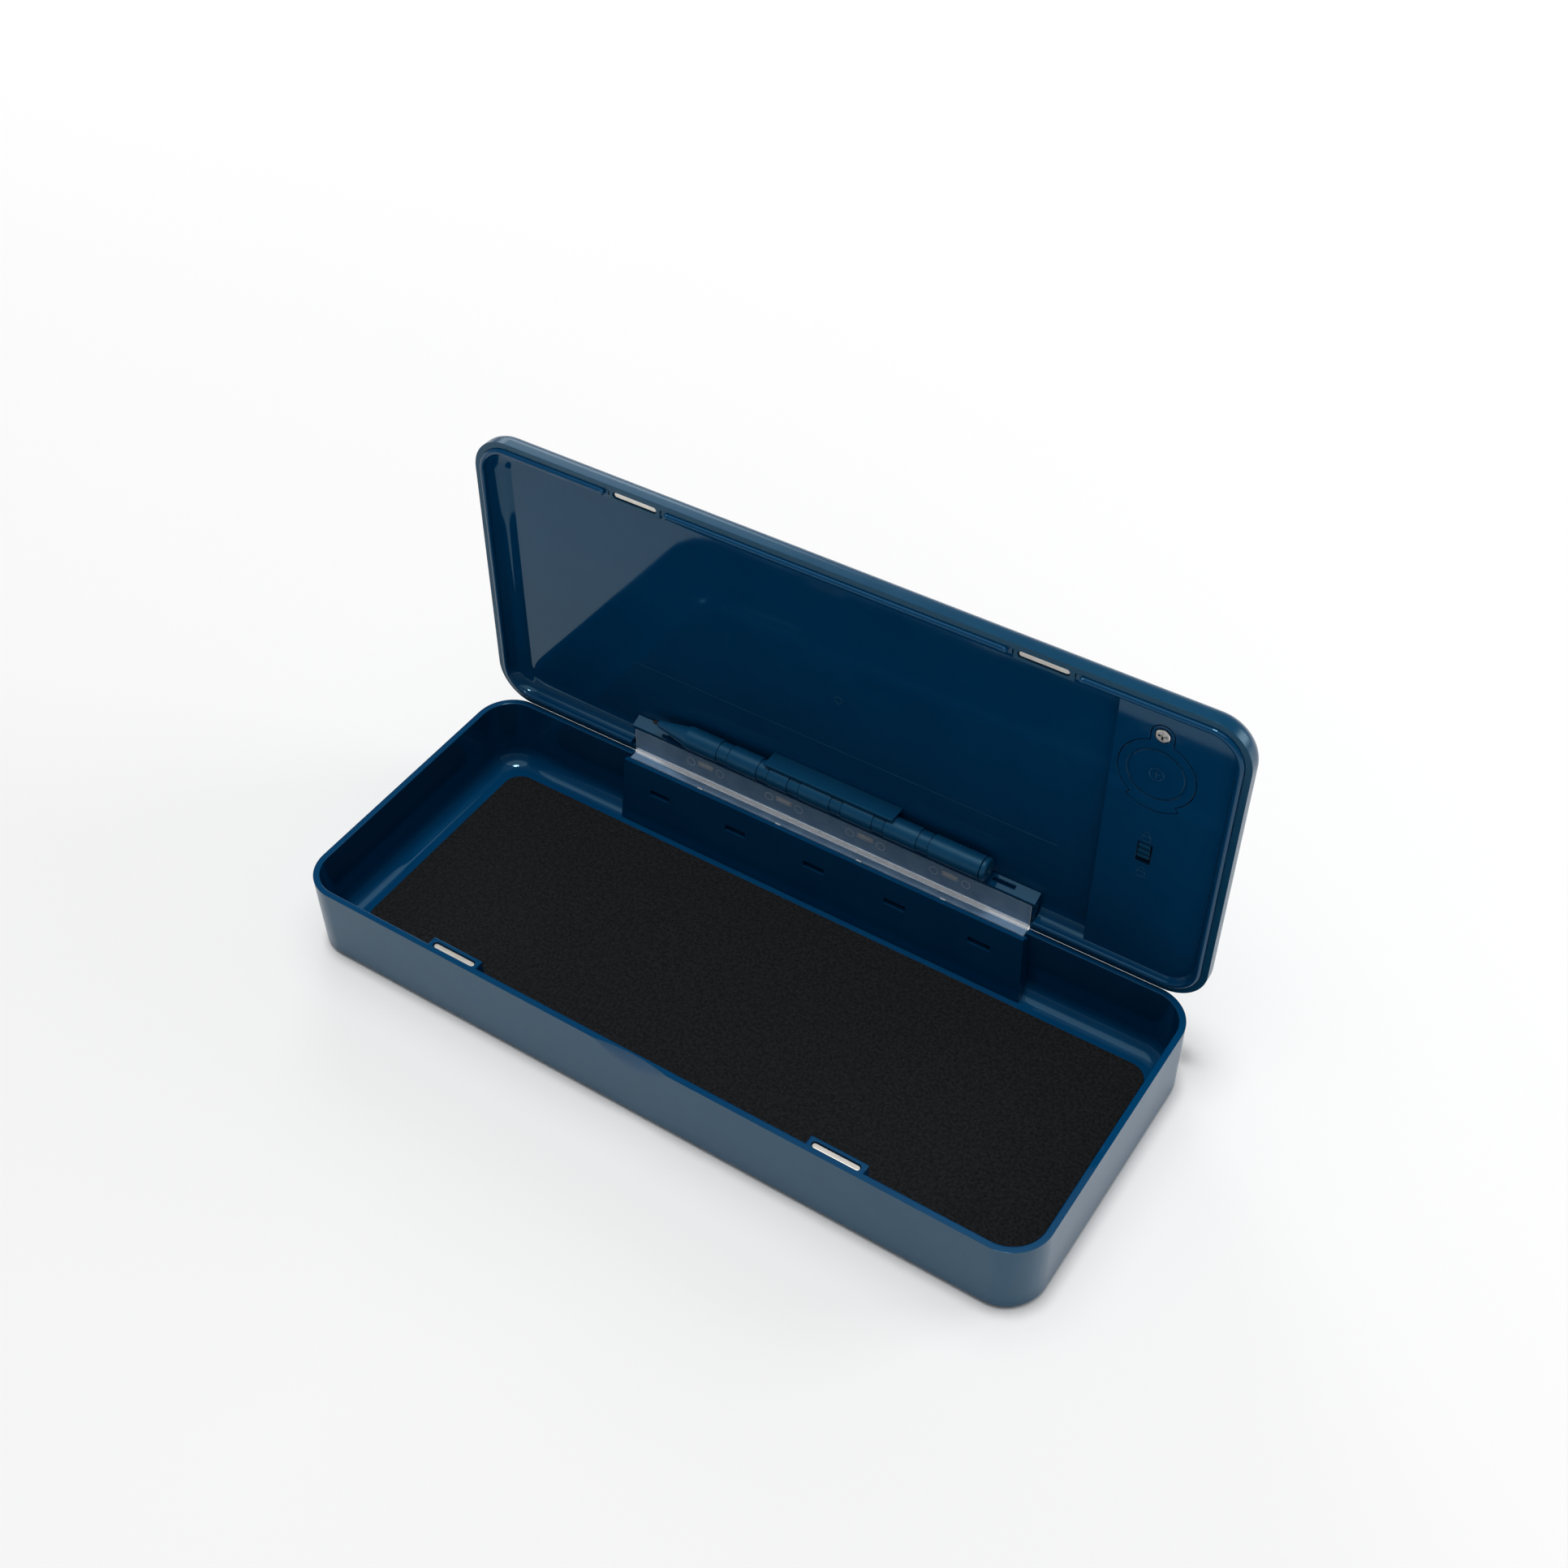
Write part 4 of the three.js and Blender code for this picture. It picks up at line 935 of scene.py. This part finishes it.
@dataclass
class Lid:
    """The lid's shell and the glossy panel that lines it."""

    case: Case
    depth: float = 8.0
    skin: float = 1.5
    edge_fillet: float = 5.5
    tongue: float = 1.6
    tongue_height: float = 1.2
    panel_depth: float = 4.0
    panel_thick: float = 1.0
    dish: tuple[float, float] = (4.6, 4.0)
    cove_height: tuple[float, ...] = (0.0, 2.3, 3.1, 4.0)
    cove_inset: tuple[float, ...] = (0.0, 1.9, 4.6, 6.4)
    bay_start: float = 87.0
    bay_depth: float = 1.2
    block_reach: float = 12.3
    screen: tuple[float, float, float, float] = (-109.0, 75.0, 10.5, 90.5)
    screen_border: float = 4.0
    screen_corner: float = 5.0
    button: tuple[float, float, float] = (100.0, 25.0, 5.0)
    clip: tuple[float, float] = (-20.5, 24.5)
    clip_from_fold: float = 19.9

    def shell_blank(self) -> Surface:
        """The shell's skin: inner face, inner wall, round rim, outer wall and the broad fillet."""
        case, edge, crisp, fillet = self.case, 0.1, self.case.crisp, self.edge_fillet
        inside, floor, rim = fillet - self.skin, self.depth - self.skin, -self.case.reach
        profile = np.vstack(
            [
                arc((case.wall + inside, floor - inside), (inside, inside), 90, 180, 10),
                arc((case.wall - edge, rim + edge), (edge, edge), 0, -90, ROUND_STEPS),
                arc((crisp, rim + crisp), (crisp, crisp), 270, 180, ROUND_STEPS),
                arc((fillet, self.depth - fillet), (fillet, fillet), 180, 90, 14),
            ]
        )
        body = swept(profile, case.length, case.width, case.corner, OUTLINE_STEPS)
        return body.moved(0, case.front)

    def screen_window(self) -> Surface:
        """The opening over the writing screen."""
        left, right, near, far = self.screen
        length, width = right - left - 2 * self.screen_border, far - near - 2 * self.screen_border
        hole = swept(np.array([[0.0, 4.0], [0.0, 12.0]]), length, width, self.screen_corner)
        return hole.moved((left + right) / 2, -(near + far) / 2)

    def boss(self, side: Side, margin: float, low: float, high: float, edge: float = 0.0) -> Surface:
        """The block that holds a magnet, or the room for it.

        Args:
            side: which magnet.
            margin: added at its ends and inner face.
            low: its lower face.
            high: its upper face.
            edge: rounding of its edges.

        Returns:
            The block in the lid's frame.
        """
        case, x = self.case, side.value * self.case.magnet_at
        half, reach = case.boss_half + margin, case.boss_reach + margin
        return block((x - half, x + half), (1.8 - case.width, reach - case.width), (low, high), edge)

    def shell(self) -> bpy.types.Mesh:
        """The shell with its bosses, pockets, strip seat, screen window and button hole."""
        case, steps = self.case, []
        for side in Side:
            boss = self.boss(side, 0, -case.reach, self.depth - self.skin + 0.05, case.edge)
            steps.append((Step.ADD, boss))
        for side in Side:
            pocket = case.magnet(0.2, -1, case.magnet_size[2] + 2 * case.gap)
            steps.append((Step.CUT, pocket.moved(side.value * case.magnet_at, case.magnet_in - case.width)))
        reach = case.strip_half + case.gap
        seat = (-1, case.strip_thick + case.gap)
        steps.append((Step.CUT, block((-reach, reach), (-case.wall - 1, 1), seat)))
        steps.append((Step.CUT, self.screen_window()))
        x, u, radius = self.button
        steps.append((Step.CUT, disc(radius + case.gap, x, -u, 4, 12)))
        return worked("lid_shell_skin", self.shell_blank(), steps)

    def panel_blank(self) -> Surface:
        """The panel's skin: dish floor, elliptical fillet, tongue, outer side and underside."""
        case, top, inset = self.case, -self.tongue_height, self.case.wall + 0.04
        inner = case.wall + case.gap + self.tongue
        edge = (inner - inset) / 2
        wide, tall = self.dish
        under = self.panel_depth + self.panel_thick
        profile = np.vstack(
            [
                arc((inner + wide, 0), (wide, self.panel_depth), 90, 180, 12),
                arc((inner - edge, top + edge), (edge, edge), 0, -90, ROUND_STEPS),
                arc((inset + edge, top + edge), (edge, edge), 270, 180, ROUND_STEPS),
                [[inset, 1.3], [inset + 0.6, 1.4]],
                arc((inset + 0.6 + wide - 1, under - tall), (wide - 1, tall), 170, 90, 8),
            ]
        )
        ends, floor = profile[:, 0].copy(), slice(0, 13)
        ends[floor] = inner + np.interp(profile[floor, 1], self.cove_height, self.cove_inset)
        body = swept(profile, case.length, case.width, case.corner, OUTLINE_STEPS, ends)
        return body.moved(0, case.front)

    def bay(self) -> Surface:
        """The raised bay over the electronics, from its step to the tongue."""
        case, inset = self.case, self.case.wall + self.case.gap + self.tongue / 2
        length, width = case.length - 2 * inset, case.width - 2 * inset
        low, high = self.bay_depth, self.panel_depth + 0.5
        whole = swept(np.array([[0.0, low], [0.0, high]]), length, width, case.corner - inset)
        whole = whole.moved(0, case.front)
        off = block((-case.length, self.bay_start), (-2 * case.width, case.width), (-9, 9))
        return surface_of(worked("bay", whole, [(Step.CUT, off)]))

    def tongue_ends(self) -> list[tuple[Step, Surface]]:
        """Widens the tongue's break at each magnet and rounds the ends it leaves."""
        case, steps = self.case, []
        middle = case.wall + case.gap + self.tongue / 2 - case.width
        half = case.boss_half + case.gap + 2.0
        for side in Side:
            x = side.value * case.magnet_at
            room = block((x - half, x + half), (middle - 3, middle + self.tongue / 2 + 0.01), (-9, 0.0))
            steps.append((Step.CUT, room))
            for end in (x - half, x + half):
                post = disc(self.tongue / 2 + 0.1, end, middle - 0.1, -self.tongue_height, 0.6, 0.5)
                steps.append((Step.ADD, post))
        return steps

    def panel(self, door_hole: list[Surface], slot_hole: Surface) -> bpy.types.Mesh:
        """The panel with its bay and openings.

        Args:
            door_hole: the shapes that together make the battery door's hole.
            slot_hole: the lock switch's slot.

        Returns:
            The finished mesh.
        """
        case = self.case
        half = case.block_half + case.gap
        steps = [
            (Step.ADD, self.bay()),
            (Step.CUT, block((-half, half), (-self.block_reach, 1), (-9, self.panel_depth))),
        ]
        steps += self.tongue_ends()
        steps += [(Step.CUT, self.boss(side, case.gap, -9, 9)) for side in Side]
        steps += [(Step.CUT, hole) for hole in [*door_hole, slot_hole]]
        return worked("lid_panel_gloss", self.panel_blank(), steps)

    def moulding_lines(self) -> Surface:
        """The faint line left by an insert in the tool, and the round mark of the gate."""
        floor = self.panel_depth
        line = np.array([[-72.4, -33.1], [74.3, -32.5], [74.3, -29.7]])
        fine = np.vstack([np.linspace(a, b, 12, endpoint=False) for a, b in zip(line, line[1:])])
        gate = bead(circle_path(1.2, 1.6, -52.2), 0.16, floor, True)
        return bead(fine, 0.1, floor).with_others(gate)

    def build(self, make: Maker, door_hole: list[Surface], slot_hole: Surface) -> None:
        """Makes the shell, the panel, the moulding marks and the magnets."""
        case = self.case
        make.place("lid_shell_skin", self.shell(), SATIN_NAVY, "lid", "navy_satin", ("lid_shell",))
        panel = self.panel(door_hole, slot_hole)
        make.place("lid_panel_gloss", panel, GLOSS_NAVY, "lid", "navy_gloss", ("lid_inner_panel",))
        make.place("lid_moulding_lines", self.moulding_lines(), SATIN_NAVY, "lid", "navy_gloss")
        near = -self.clip_from_fold
        clip = block(self.clip, (near - 1, near), (-2, self.panel_depth + 0.4), 0.15)
        make.place("stylus_clip_plate", clip, STYLUS_NAVY, "lid", "navy_satin")
        for side in Side:
            bar = case.magnet(0, case.gap, case.gap + case.magnet_size[2], 0.25)
            bar = bar.moved(side.value * case.magnet_at, case.magnet_in - case.width)
            label = side.name.lower()
            make.place(f"lid_magnet_bar_{label}", bar, NICKEL, "lid", "nickel", (f"lid_magnet_{label}",))


@dataclass
class BatteryBay:
    """The battery door with its ear and screw, and the marks beside the lock switch."""

    case: Case
    x: float = 100.0
    u: float = 75.4
    radius: float = 11.0
    thick: float = 1.0
    face: float = 1.2
    tab_radius: float = 12.6
    tab_angle: float = 0.62
    ear_radius: float = 3.2
    ear_thick: float = 1.6
    screw_u: float = 88.8
    ring_radius: float = 8.2
    slot: tuple[float, float, float] = (46.4, 4.4, 7.4)
    lock_marks: tuple[float, float] = (52.9, 39.6)

    def outline(self, margin: float, low: float, high: float, edge: float = 0.0) -> list[Surface]:
        """The shapes that make up the door's outline.

        The tab is the part of a wider disc inside an angle of the direction to the fold.

        Args:
            margin: added all round.
            low: lower face.
            high: upper face.
            edge: rounding of the round plates.

        Returns:
            The face, the ear, the neck between them and the tab.
        """
        y, ear_y, neck = -self.u, -self.screw_u, self.ear_radius + margin
        angle = self.tab_angle + margin / self.tab_radius
        half = math.degrees(angle)
        fan = arc((self.x, y), (self.tab_radius + margin,) * 2, 90 - half, 90 + half, 24)
        ring = np.vstack([fan, [[self.x, y]]])
        height = np.array([low, high])[:, None, None]
        rings = np.concatenate(
            [np.broadcast_to(ring, (2, *ring.shape)), np.broadcast_to(height, (2, len(ring), 1))], -1
        )
        return [
            disc(self.radius + margin, self.x, y, low, high, edge),
            disc(self.ear_radius + margin, self.x, ear_y, low, high, edge),
            block((self.x - neck, self.x + neck), (ear_y, y - self.radius + 1), (low, high)),
            stack(rings),
        ]

    def hole(self) -> list[Surface]:
        """The door's hole through the panel."""
        return self.outline(self.case.gap, -1, 6)

    def slot_hole(self) -> Surface:
        """The lock switch's slot through the panel."""
        u, wide, tall = self.slot
        x = self.x + 0.3
        return block((x - wide / 2, x + wide / 2), (-u - tall / 2, tall / 2 - u), (-1, 6))

    def door(self) -> bpy.types.Mesh:
        """The door, with a groove round its face and the screw's seat."""
        low, high = self.face, self.face + self.thick
        first, *others = self.outline(0, low, high)
        y, ear_y = -self.u, -self.screw_u
        steps = [(Step.ADD, shape) for shape in others]
        steps.append((Step.ADD, disc(self.ear_radius, self.x, ear_y, low, low + self.ear_thick)))
        groove = worked(
            "groove",
            disc(self.ring_radius + 0.35, self.x, y, low - 1, low + 0.3),
            [(Step.CUT, disc(self.ring_radius - 0.35, self.x, y, low - 2, low + 2))],
        )
        steps.append((Step.CUT, surface_of(groove)))
        steps.append((Step.CUT, disc(2.4, self.x, ear_y, low - 1, low + 0.7)))
        steps.append((Step.CUT, disc(1.3, self.x, ear_y, low, low + 6)))
        return worked("battery_lid", first, steps)

    def marks(self) -> Surface:
        """The raised plus in a ring on the door."""
        y, height = -self.u, self.face
        ring = bead(circle_path(2.0, self.x, y), 0.16, height, True)
        across = bead(np.array([[self.x - 1.1, y], [self.x, y], [self.x + 1.1, y]]), 0.16, height)
        up = bead(np.array([[self.x, y - 1.1], [self.x, y], [self.x, y + 1.1]]), 0.16, height)
        return ring.with_others(across, up)

    def padlock(self, u: float, shut: bool) -> Surface:
        """A raised padlock outline: a small box with a bow over it.

        Args:
            u: distance of its middle from the fold.
            shut: whether the bow meets the box at both ends.

        Returns:
            The outline as beads.
        """
        x, y, height = self.x + 0.3, -u, self.face
        body = np.array([[-1.2, 0.2], [1.2, 0.2], [1.2, 2.0], [-1.2, 2.0]]) + [x, y]
        body = np.vstack([np.linspace(a, b, 6, endpoint=False) for a, b in zip(body, np.roll(body, -1, 0))])
        bow = arc((0, -0.7), (0.75, 0.75), 180, 360, 10)
        legs = [[-0.75, 0.2]], ([[0.75, 0.2]] if shut else [[0.75, -0.5]])
        path = np.vstack([legs[0], bow, legs[1]]) + [x, y]
        return bead(body, 0.12, height, True).with_others(bead(path, 0.12, height))

    def screw(self) -> bpy.types.Mesh:
        """The screw: a low domed head with a cross recess, on a plain shank."""
        low = self.face
        head = disc(2.1, self.x, -self.screw_u, low - 0.3, low + 0.4, 0.3)
        shank = disc(1.0, self.x, -self.screw_u, low + 0.2, low + 3.7)
        steps = [(Step.ADD, shank)]
        for wide, tall in ((1.35, 0.3), (0.3, 1.35)):
            x, y = (self.x - wide, self.x + wide), (-self.screw_u - tall, tall - self.screw_u)
            steps.append((Step.CUT, block(x, y, (low - 2, low + 0.5))))
        return worked("door_screw_head", head, steps)

    def build(self, make: Maker) -> None:
        """Makes the door, its marks, the screw and the padlock outlines."""
        make.place("battery_lid", self.door(), GLOSS_NAVY, "battery_cover", "navy_gloss", ("battery_door",))
        make.place("battery_lid_marks", self.marks(), GLOSS_NAVY, "battery_cover", "navy_gloss")
        make.place("door_screw_head", self.screw(), STEEL, "cover_screw", "nickel", ("battery_door_screw",))
        locks = [self.padlock(u, shut) for u, shut in zip(self.lock_marks, (True, False))]
        make.place("lock_marks", locks[0].with_others(locks[1]), GLOSS_NAVY, "lid", "navy_gloss")


@dataclass
class Stylus:
    """The stylus: a turned barrel with six shallow necks, a nib and an end plug."""

    from_fold: float = 15.9
    radius: float = 3.7
    neck_radius: float = 3.4
    tip: float = -63.3
    end: float = 56.0
    cone: float = 13.0
    neck: float = 4.2
    necks: tuple[float, ...] = (-37.4, -22.7, -11.6, 3.4, 18.1, 33.2)
    nib_radius: float = 0.6
    nib_proud: float = 2.3

    def barrel(self) -> Surface:
        """The barrel's outline: a short cone, a round shoulder and a step down at each neck."""
        start, shoulder = self.tip + self.nib_proud, self.tip + self.cone
        rows = [[start, 0.7], [start, 0.95], [start + 0.15, 1.15], [start + 1.2, 1.3]]
        rows += [[shoulder, self.radius - 0.55], [shoulder + 0.6, self.radius - 0.2]]
        rows += [[shoulder + 1.5, self.radius]]
        for x in self.necks:
            end, low, rim = x + self.neck, self.neck_radius, self.radius - 0.1
            rows += [[x - 0.15, self.radius], [x, rim], [x, low - 0.2], [x + 0.25, low - 0.2]]
            rows += [[x + 0.3, low]]
            rows += [[end - 0.3, low], [end - 0.25, low - 0.2], [end, low - 0.2], [end, rim]]
            rows += [[end + 0.15, self.radius]]
        last = self.end - 1.8
        rows += [[last - 0.1, self.radius], [last, self.radius - 0.1], [last, 2.6]]
        rows += [[last - 6, 2.6], [last - 6, 0.1]]
        return turned(np.array(rows)).moved(0, -self.from_fold)

    def nib(self) -> Surface:
        """The nib's rounded point and pin."""
        rows = [[self.tip, 0.08], [self.tip + 0.1, 0.35], [self.tip + 0.5, self.nib_radius]]
        rows.append([self.tip + self.nib_proud - 0.1, self.nib_radius])
        return turned(np.array(rows), 32).moved(0, -self.from_fold)

    def plug(self) -> Surface:
        """The end plug: a chamfered cap with a shallow recess."""
        face, end, r = self.end - 1.5, self.end, self.radius
        rows = [[face - 5.5, 0.1], [face - 5.5, 2.3], [face, 2.3], [face, r - 0.1], [face + 0.1, r]]
        rows += [[end - 0.5, r], [end, r - 0.5], [end, 1.6], [end - 0.4, 1.5], [end - 0.4, 0.1]]
        return turned(np.array(rows)).moved(0, -self.from_fold)

    def build(self, make: Maker) -> None:
        """Makes the three pieces of the stylus."""
        barrel = self.barrel()
        make.place("stylus_turned_barrel", barrel, STYLUS_NAVY, "stylus", "navy_satin", ("stylus_barrel",))
        make.place("stylus_point", self.nib(), BLACK_NYLON, "stylus", "black_plastic", ("stylus_nib",))
        make.place("stylus_cap", self.plug(), STYLUS_NAVY, "stylus", "navy_satin", ("stylus_end_plug",))


NODE_FINISHES = {
    "base_hinge_cover": GLOSS_NAVY,
    "lid_hinge_block": GLOSS_NAVY,
    "lock_switch_knob": SATIN_NAVY,
    "erase_button": SATIN_NAVY,
    "writing_screen": SCREEN_FILM,
    "screen_ribbon": BLACK_NYLON,
    "circuit_board": BOARD_GREEN,
    "lock_switch_housing": BLACK_NYLON,
    "battery_holder": BLACK_NYLON,
    "erase_dome": CELL_STEEL,
    "coin_cell": CELL_STEEL,
    "battery_contact_negative": CELL_STEEL,
    "battery_contact_positive": CELL_STEEL,
}


def dress_nodes(frame: dict) -> None:
    """Gives each CAD node that still shows its finish.
    """
    for name, finish in NODE_FINISHES.items():
        node = frame["nodes"][name]
        node.data.materials.clear()
        node.data.materials.append(finish.material())
        LOG.info("%s keeps its shape and takes %s", name, finish.name)


# ------------------------------------------------------------------ studio
@dataclass
class Softbox:
    """One soft rectangular light.

    Attributes:
        name: what it is called.
        at: its place in metres.
        size: its width and height in metres.
        power: watts.
    """

    name: str
    at: tuple[float, float, float]
    size: tuple[float, float]
    power: float

    def build(self) -> None:
        """Hangs the light so that it faces the case."""
        data = bpy.data.lights.new(self.name, "AREA")
        data.shape = "RECTANGLE"
        data.size, data.size_y = self.size
        data.energy = self.power
        lamp = bpy.data.objects.new(self.name, data)
        lamp.location = self.at
        lamp.rotation_euler = (-Vector(self.at)).to_track_quat("-Z", "Y").to_euler()
        bpy.context.collection.objects.link(lamp)


@dataclass
class Studio:
    """The pale floor, the lights and the camera.

    Attributes:
        sky: the room's brightness by the sine of the height above the horizon: dim walls and a
            bright ceiling.
        key_from: the direction the small hard light comes from.
        key_power: its power in watts per square metre.
        key_angle: its apparent size in degrees.
    """

    floor_size: float = 6.0
    camera_at: tuple[float, float, float] = (0.2304, -0.3177, 0.4786)
    azimuth: float = 35.88
    elevation: float = 45.25
    roll: float = -2.62
    lens: float = 47.0
    shift: tuple[float, float] = (0.0365, 0.0144)
    sky: tuple[tuple[float, float], ...] = ((0.0, 0.3), (0.3, 0.25), (0.5, 0.12), (0.8, 0.12), (0.88, 1.2))
    key_from: tuple[float, float, float] = (-0.05, 0.03, 1.0)
    key_power: float = 1.44
    key_angle: float = 12.0
    lights: tuple[Softbox, ...] = field(
        default_factory=lambda: (
            Softbox("right_back", (0.9, 0.75, 0.5), (0.6, 0.4), 3.2),
            Softbox("left_back", (-0.93, 1.11, 0.68), (0.65, 0.45), 3.0),
        )
    )

    def room(self) -> None:
        """The room round the case, as a ramp on the height of the direction looked in."""
        world = bpy.data.worlds.new("studio")
        world.use_nodes = True
        tree = world.node_tree
        place = add_node(tree, "ShaderNodeTexCoord", {}, {})
        parts = add_node(tree, "ShaderNodeSeparateXYZ", {}, {"Vector": place.outputs["Generated"]})
        ramp = add_node(tree, "ShaderNodeValToRGB", {}, {"Fac": parts.outputs["Z"]})
        stops = ramp.color_ramp.elements
        while len(stops) < len(self.sky):
            stops.new(0.5)
        for stop, (height, level) in zip(stops, self.sky):
            stop.position = height
            stop.color = (level, level, level, 1.0)
        tree.links.new(ramp.outputs["Color"], tree.nodes["Background"].inputs["Color"])
        bpy.context.scene.world = world

    def key(self) -> None:
        """The small light from almost straight above, which draws the shadow and the corner glints."""
        data = bpy.data.lights.new("key", "SUN")
        data.energy = self.key_power
        data.angle = math.radians(self.key_angle)
        lamp = bpy.data.objects.new("key", data)
        lamp.rotation_euler = (-Vector(self.key_from)).to_track_quat("-Z", "Y").to_euler()
        bpy.context.collection.objects.link(lamp)

    def floor(self) -> None:
        """The floor: matt white paper, just under the case."""
        half = self.floor_size / 2
        mesh = bpy.data.meshes.new("paper_floor")
        corners = [(-half, -half, 0), (half, -half, 0), (half, half, 0), (-half, half, 0)]
        mesh.from_pydata(corners, [], [(0, 1, 2, 3)])
        material = bpy.data.materials.new("matt_white_paper")
        material.use_nodes = True
        shader = material.node_tree.nodes["Principled BSDF"]
        shader.inputs["Base Color"].default_value = linear("#f6f6f6")
        shader.inputs["Roughness"].default_value = 1.0
        shader.inputs["Specular IOR Level"].default_value = 0.0
        mesh.materials.append(material)
        floor = bpy.data.objects.new("paper_floor", mesh)
        bpy.context.collection.objects.link(floor)

    def camera(self) -> None:
        """The camera: its axes are the level ones for its azimuth and elevation, then rolled."""
        a, e, r = (math.radians(v) for v in (self.azimuth, self.elevation, self.roll))
        back = Vector((math.sin(a) * math.cos(e), -math.cos(a) * math.cos(e), math.sin(e)))
        level = Vector((math.cos(a), math.sin(a), 0))
        upright = back.cross(level)
        right = math.cos(r) * level + math.sin(r) * upright
        up = back.cross(right)
        data = bpy.data.cameras.new("camera")
        data.lens, data.sensor_width = self.lens, 36.0
        data.shift_x, data.shift_y = self.shift
        camera = bpy.data.objects.new("camera", data)
        turn = Matrix((right, up, back)).transposed().to_4x4()
        camera.matrix_world = Matrix.Translation(self.camera_at) @ turn
        bpy.context.collection.objects.link(camera)
        bpy.context.scene.camera = camera

    def build(self) -> None:
        """Makes the floor, the sky, the lights and the camera."""
        self.floor()
        self.room()
        self.key()
        for light in self.lights:
            light.build()
        self.camera()
        bpy.context.scene.view_settings.view_transform = "Standard"


def lid_place(frame: dict, case: Case, hinge: str = "lid_hinge") -> Matrix:
    """Where a lid piece drawn shut lies when the lid stands open.

    The lid turns about the hinge's point by the angle that its joint still has to close.

    Args:
        case: the case's sizes.
        hinge: the joint's name.

    Returns:
        The place, in millimetres.
    """
    joint = next(j for j in frame["record"]["behaviour"]["joints"] if j["name"] == hinge)
    point = Vector(joint["pos_m"]) / MM
    turn = Matrix.Rotation(-math.radians(joint["range_deg"][1]), 4, "X")
    return Matrix.Translation(point) @ turn @ Matrix.Translation((0, 0, case.gap / 2))


def main() -> None:
    """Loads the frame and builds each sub-assembly."""
    logging.basicConfig(level=logging.INFO, format="%(message)s")
    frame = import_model()
    low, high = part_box("base_tray")
    length, width, height = ((b - a) / MM for a, b in zip(low, high))
    case = Case(length, width, height)
    make = Maker(lid_place(frame, case))
    battery = BatteryBay(case)
    Tray(case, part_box("foam_liner")).build(make)
    HingeStrip(case).build(make)
    Lid(case).build(make, battery.hole(), battery.slot_hole())
    battery.build(make)
    Stylus().build(make)
    dress_nodes(frame)
    Studio().build()
    LOG.info("%d pieces made", make.count)


if __name__ == "__main__":
    main()
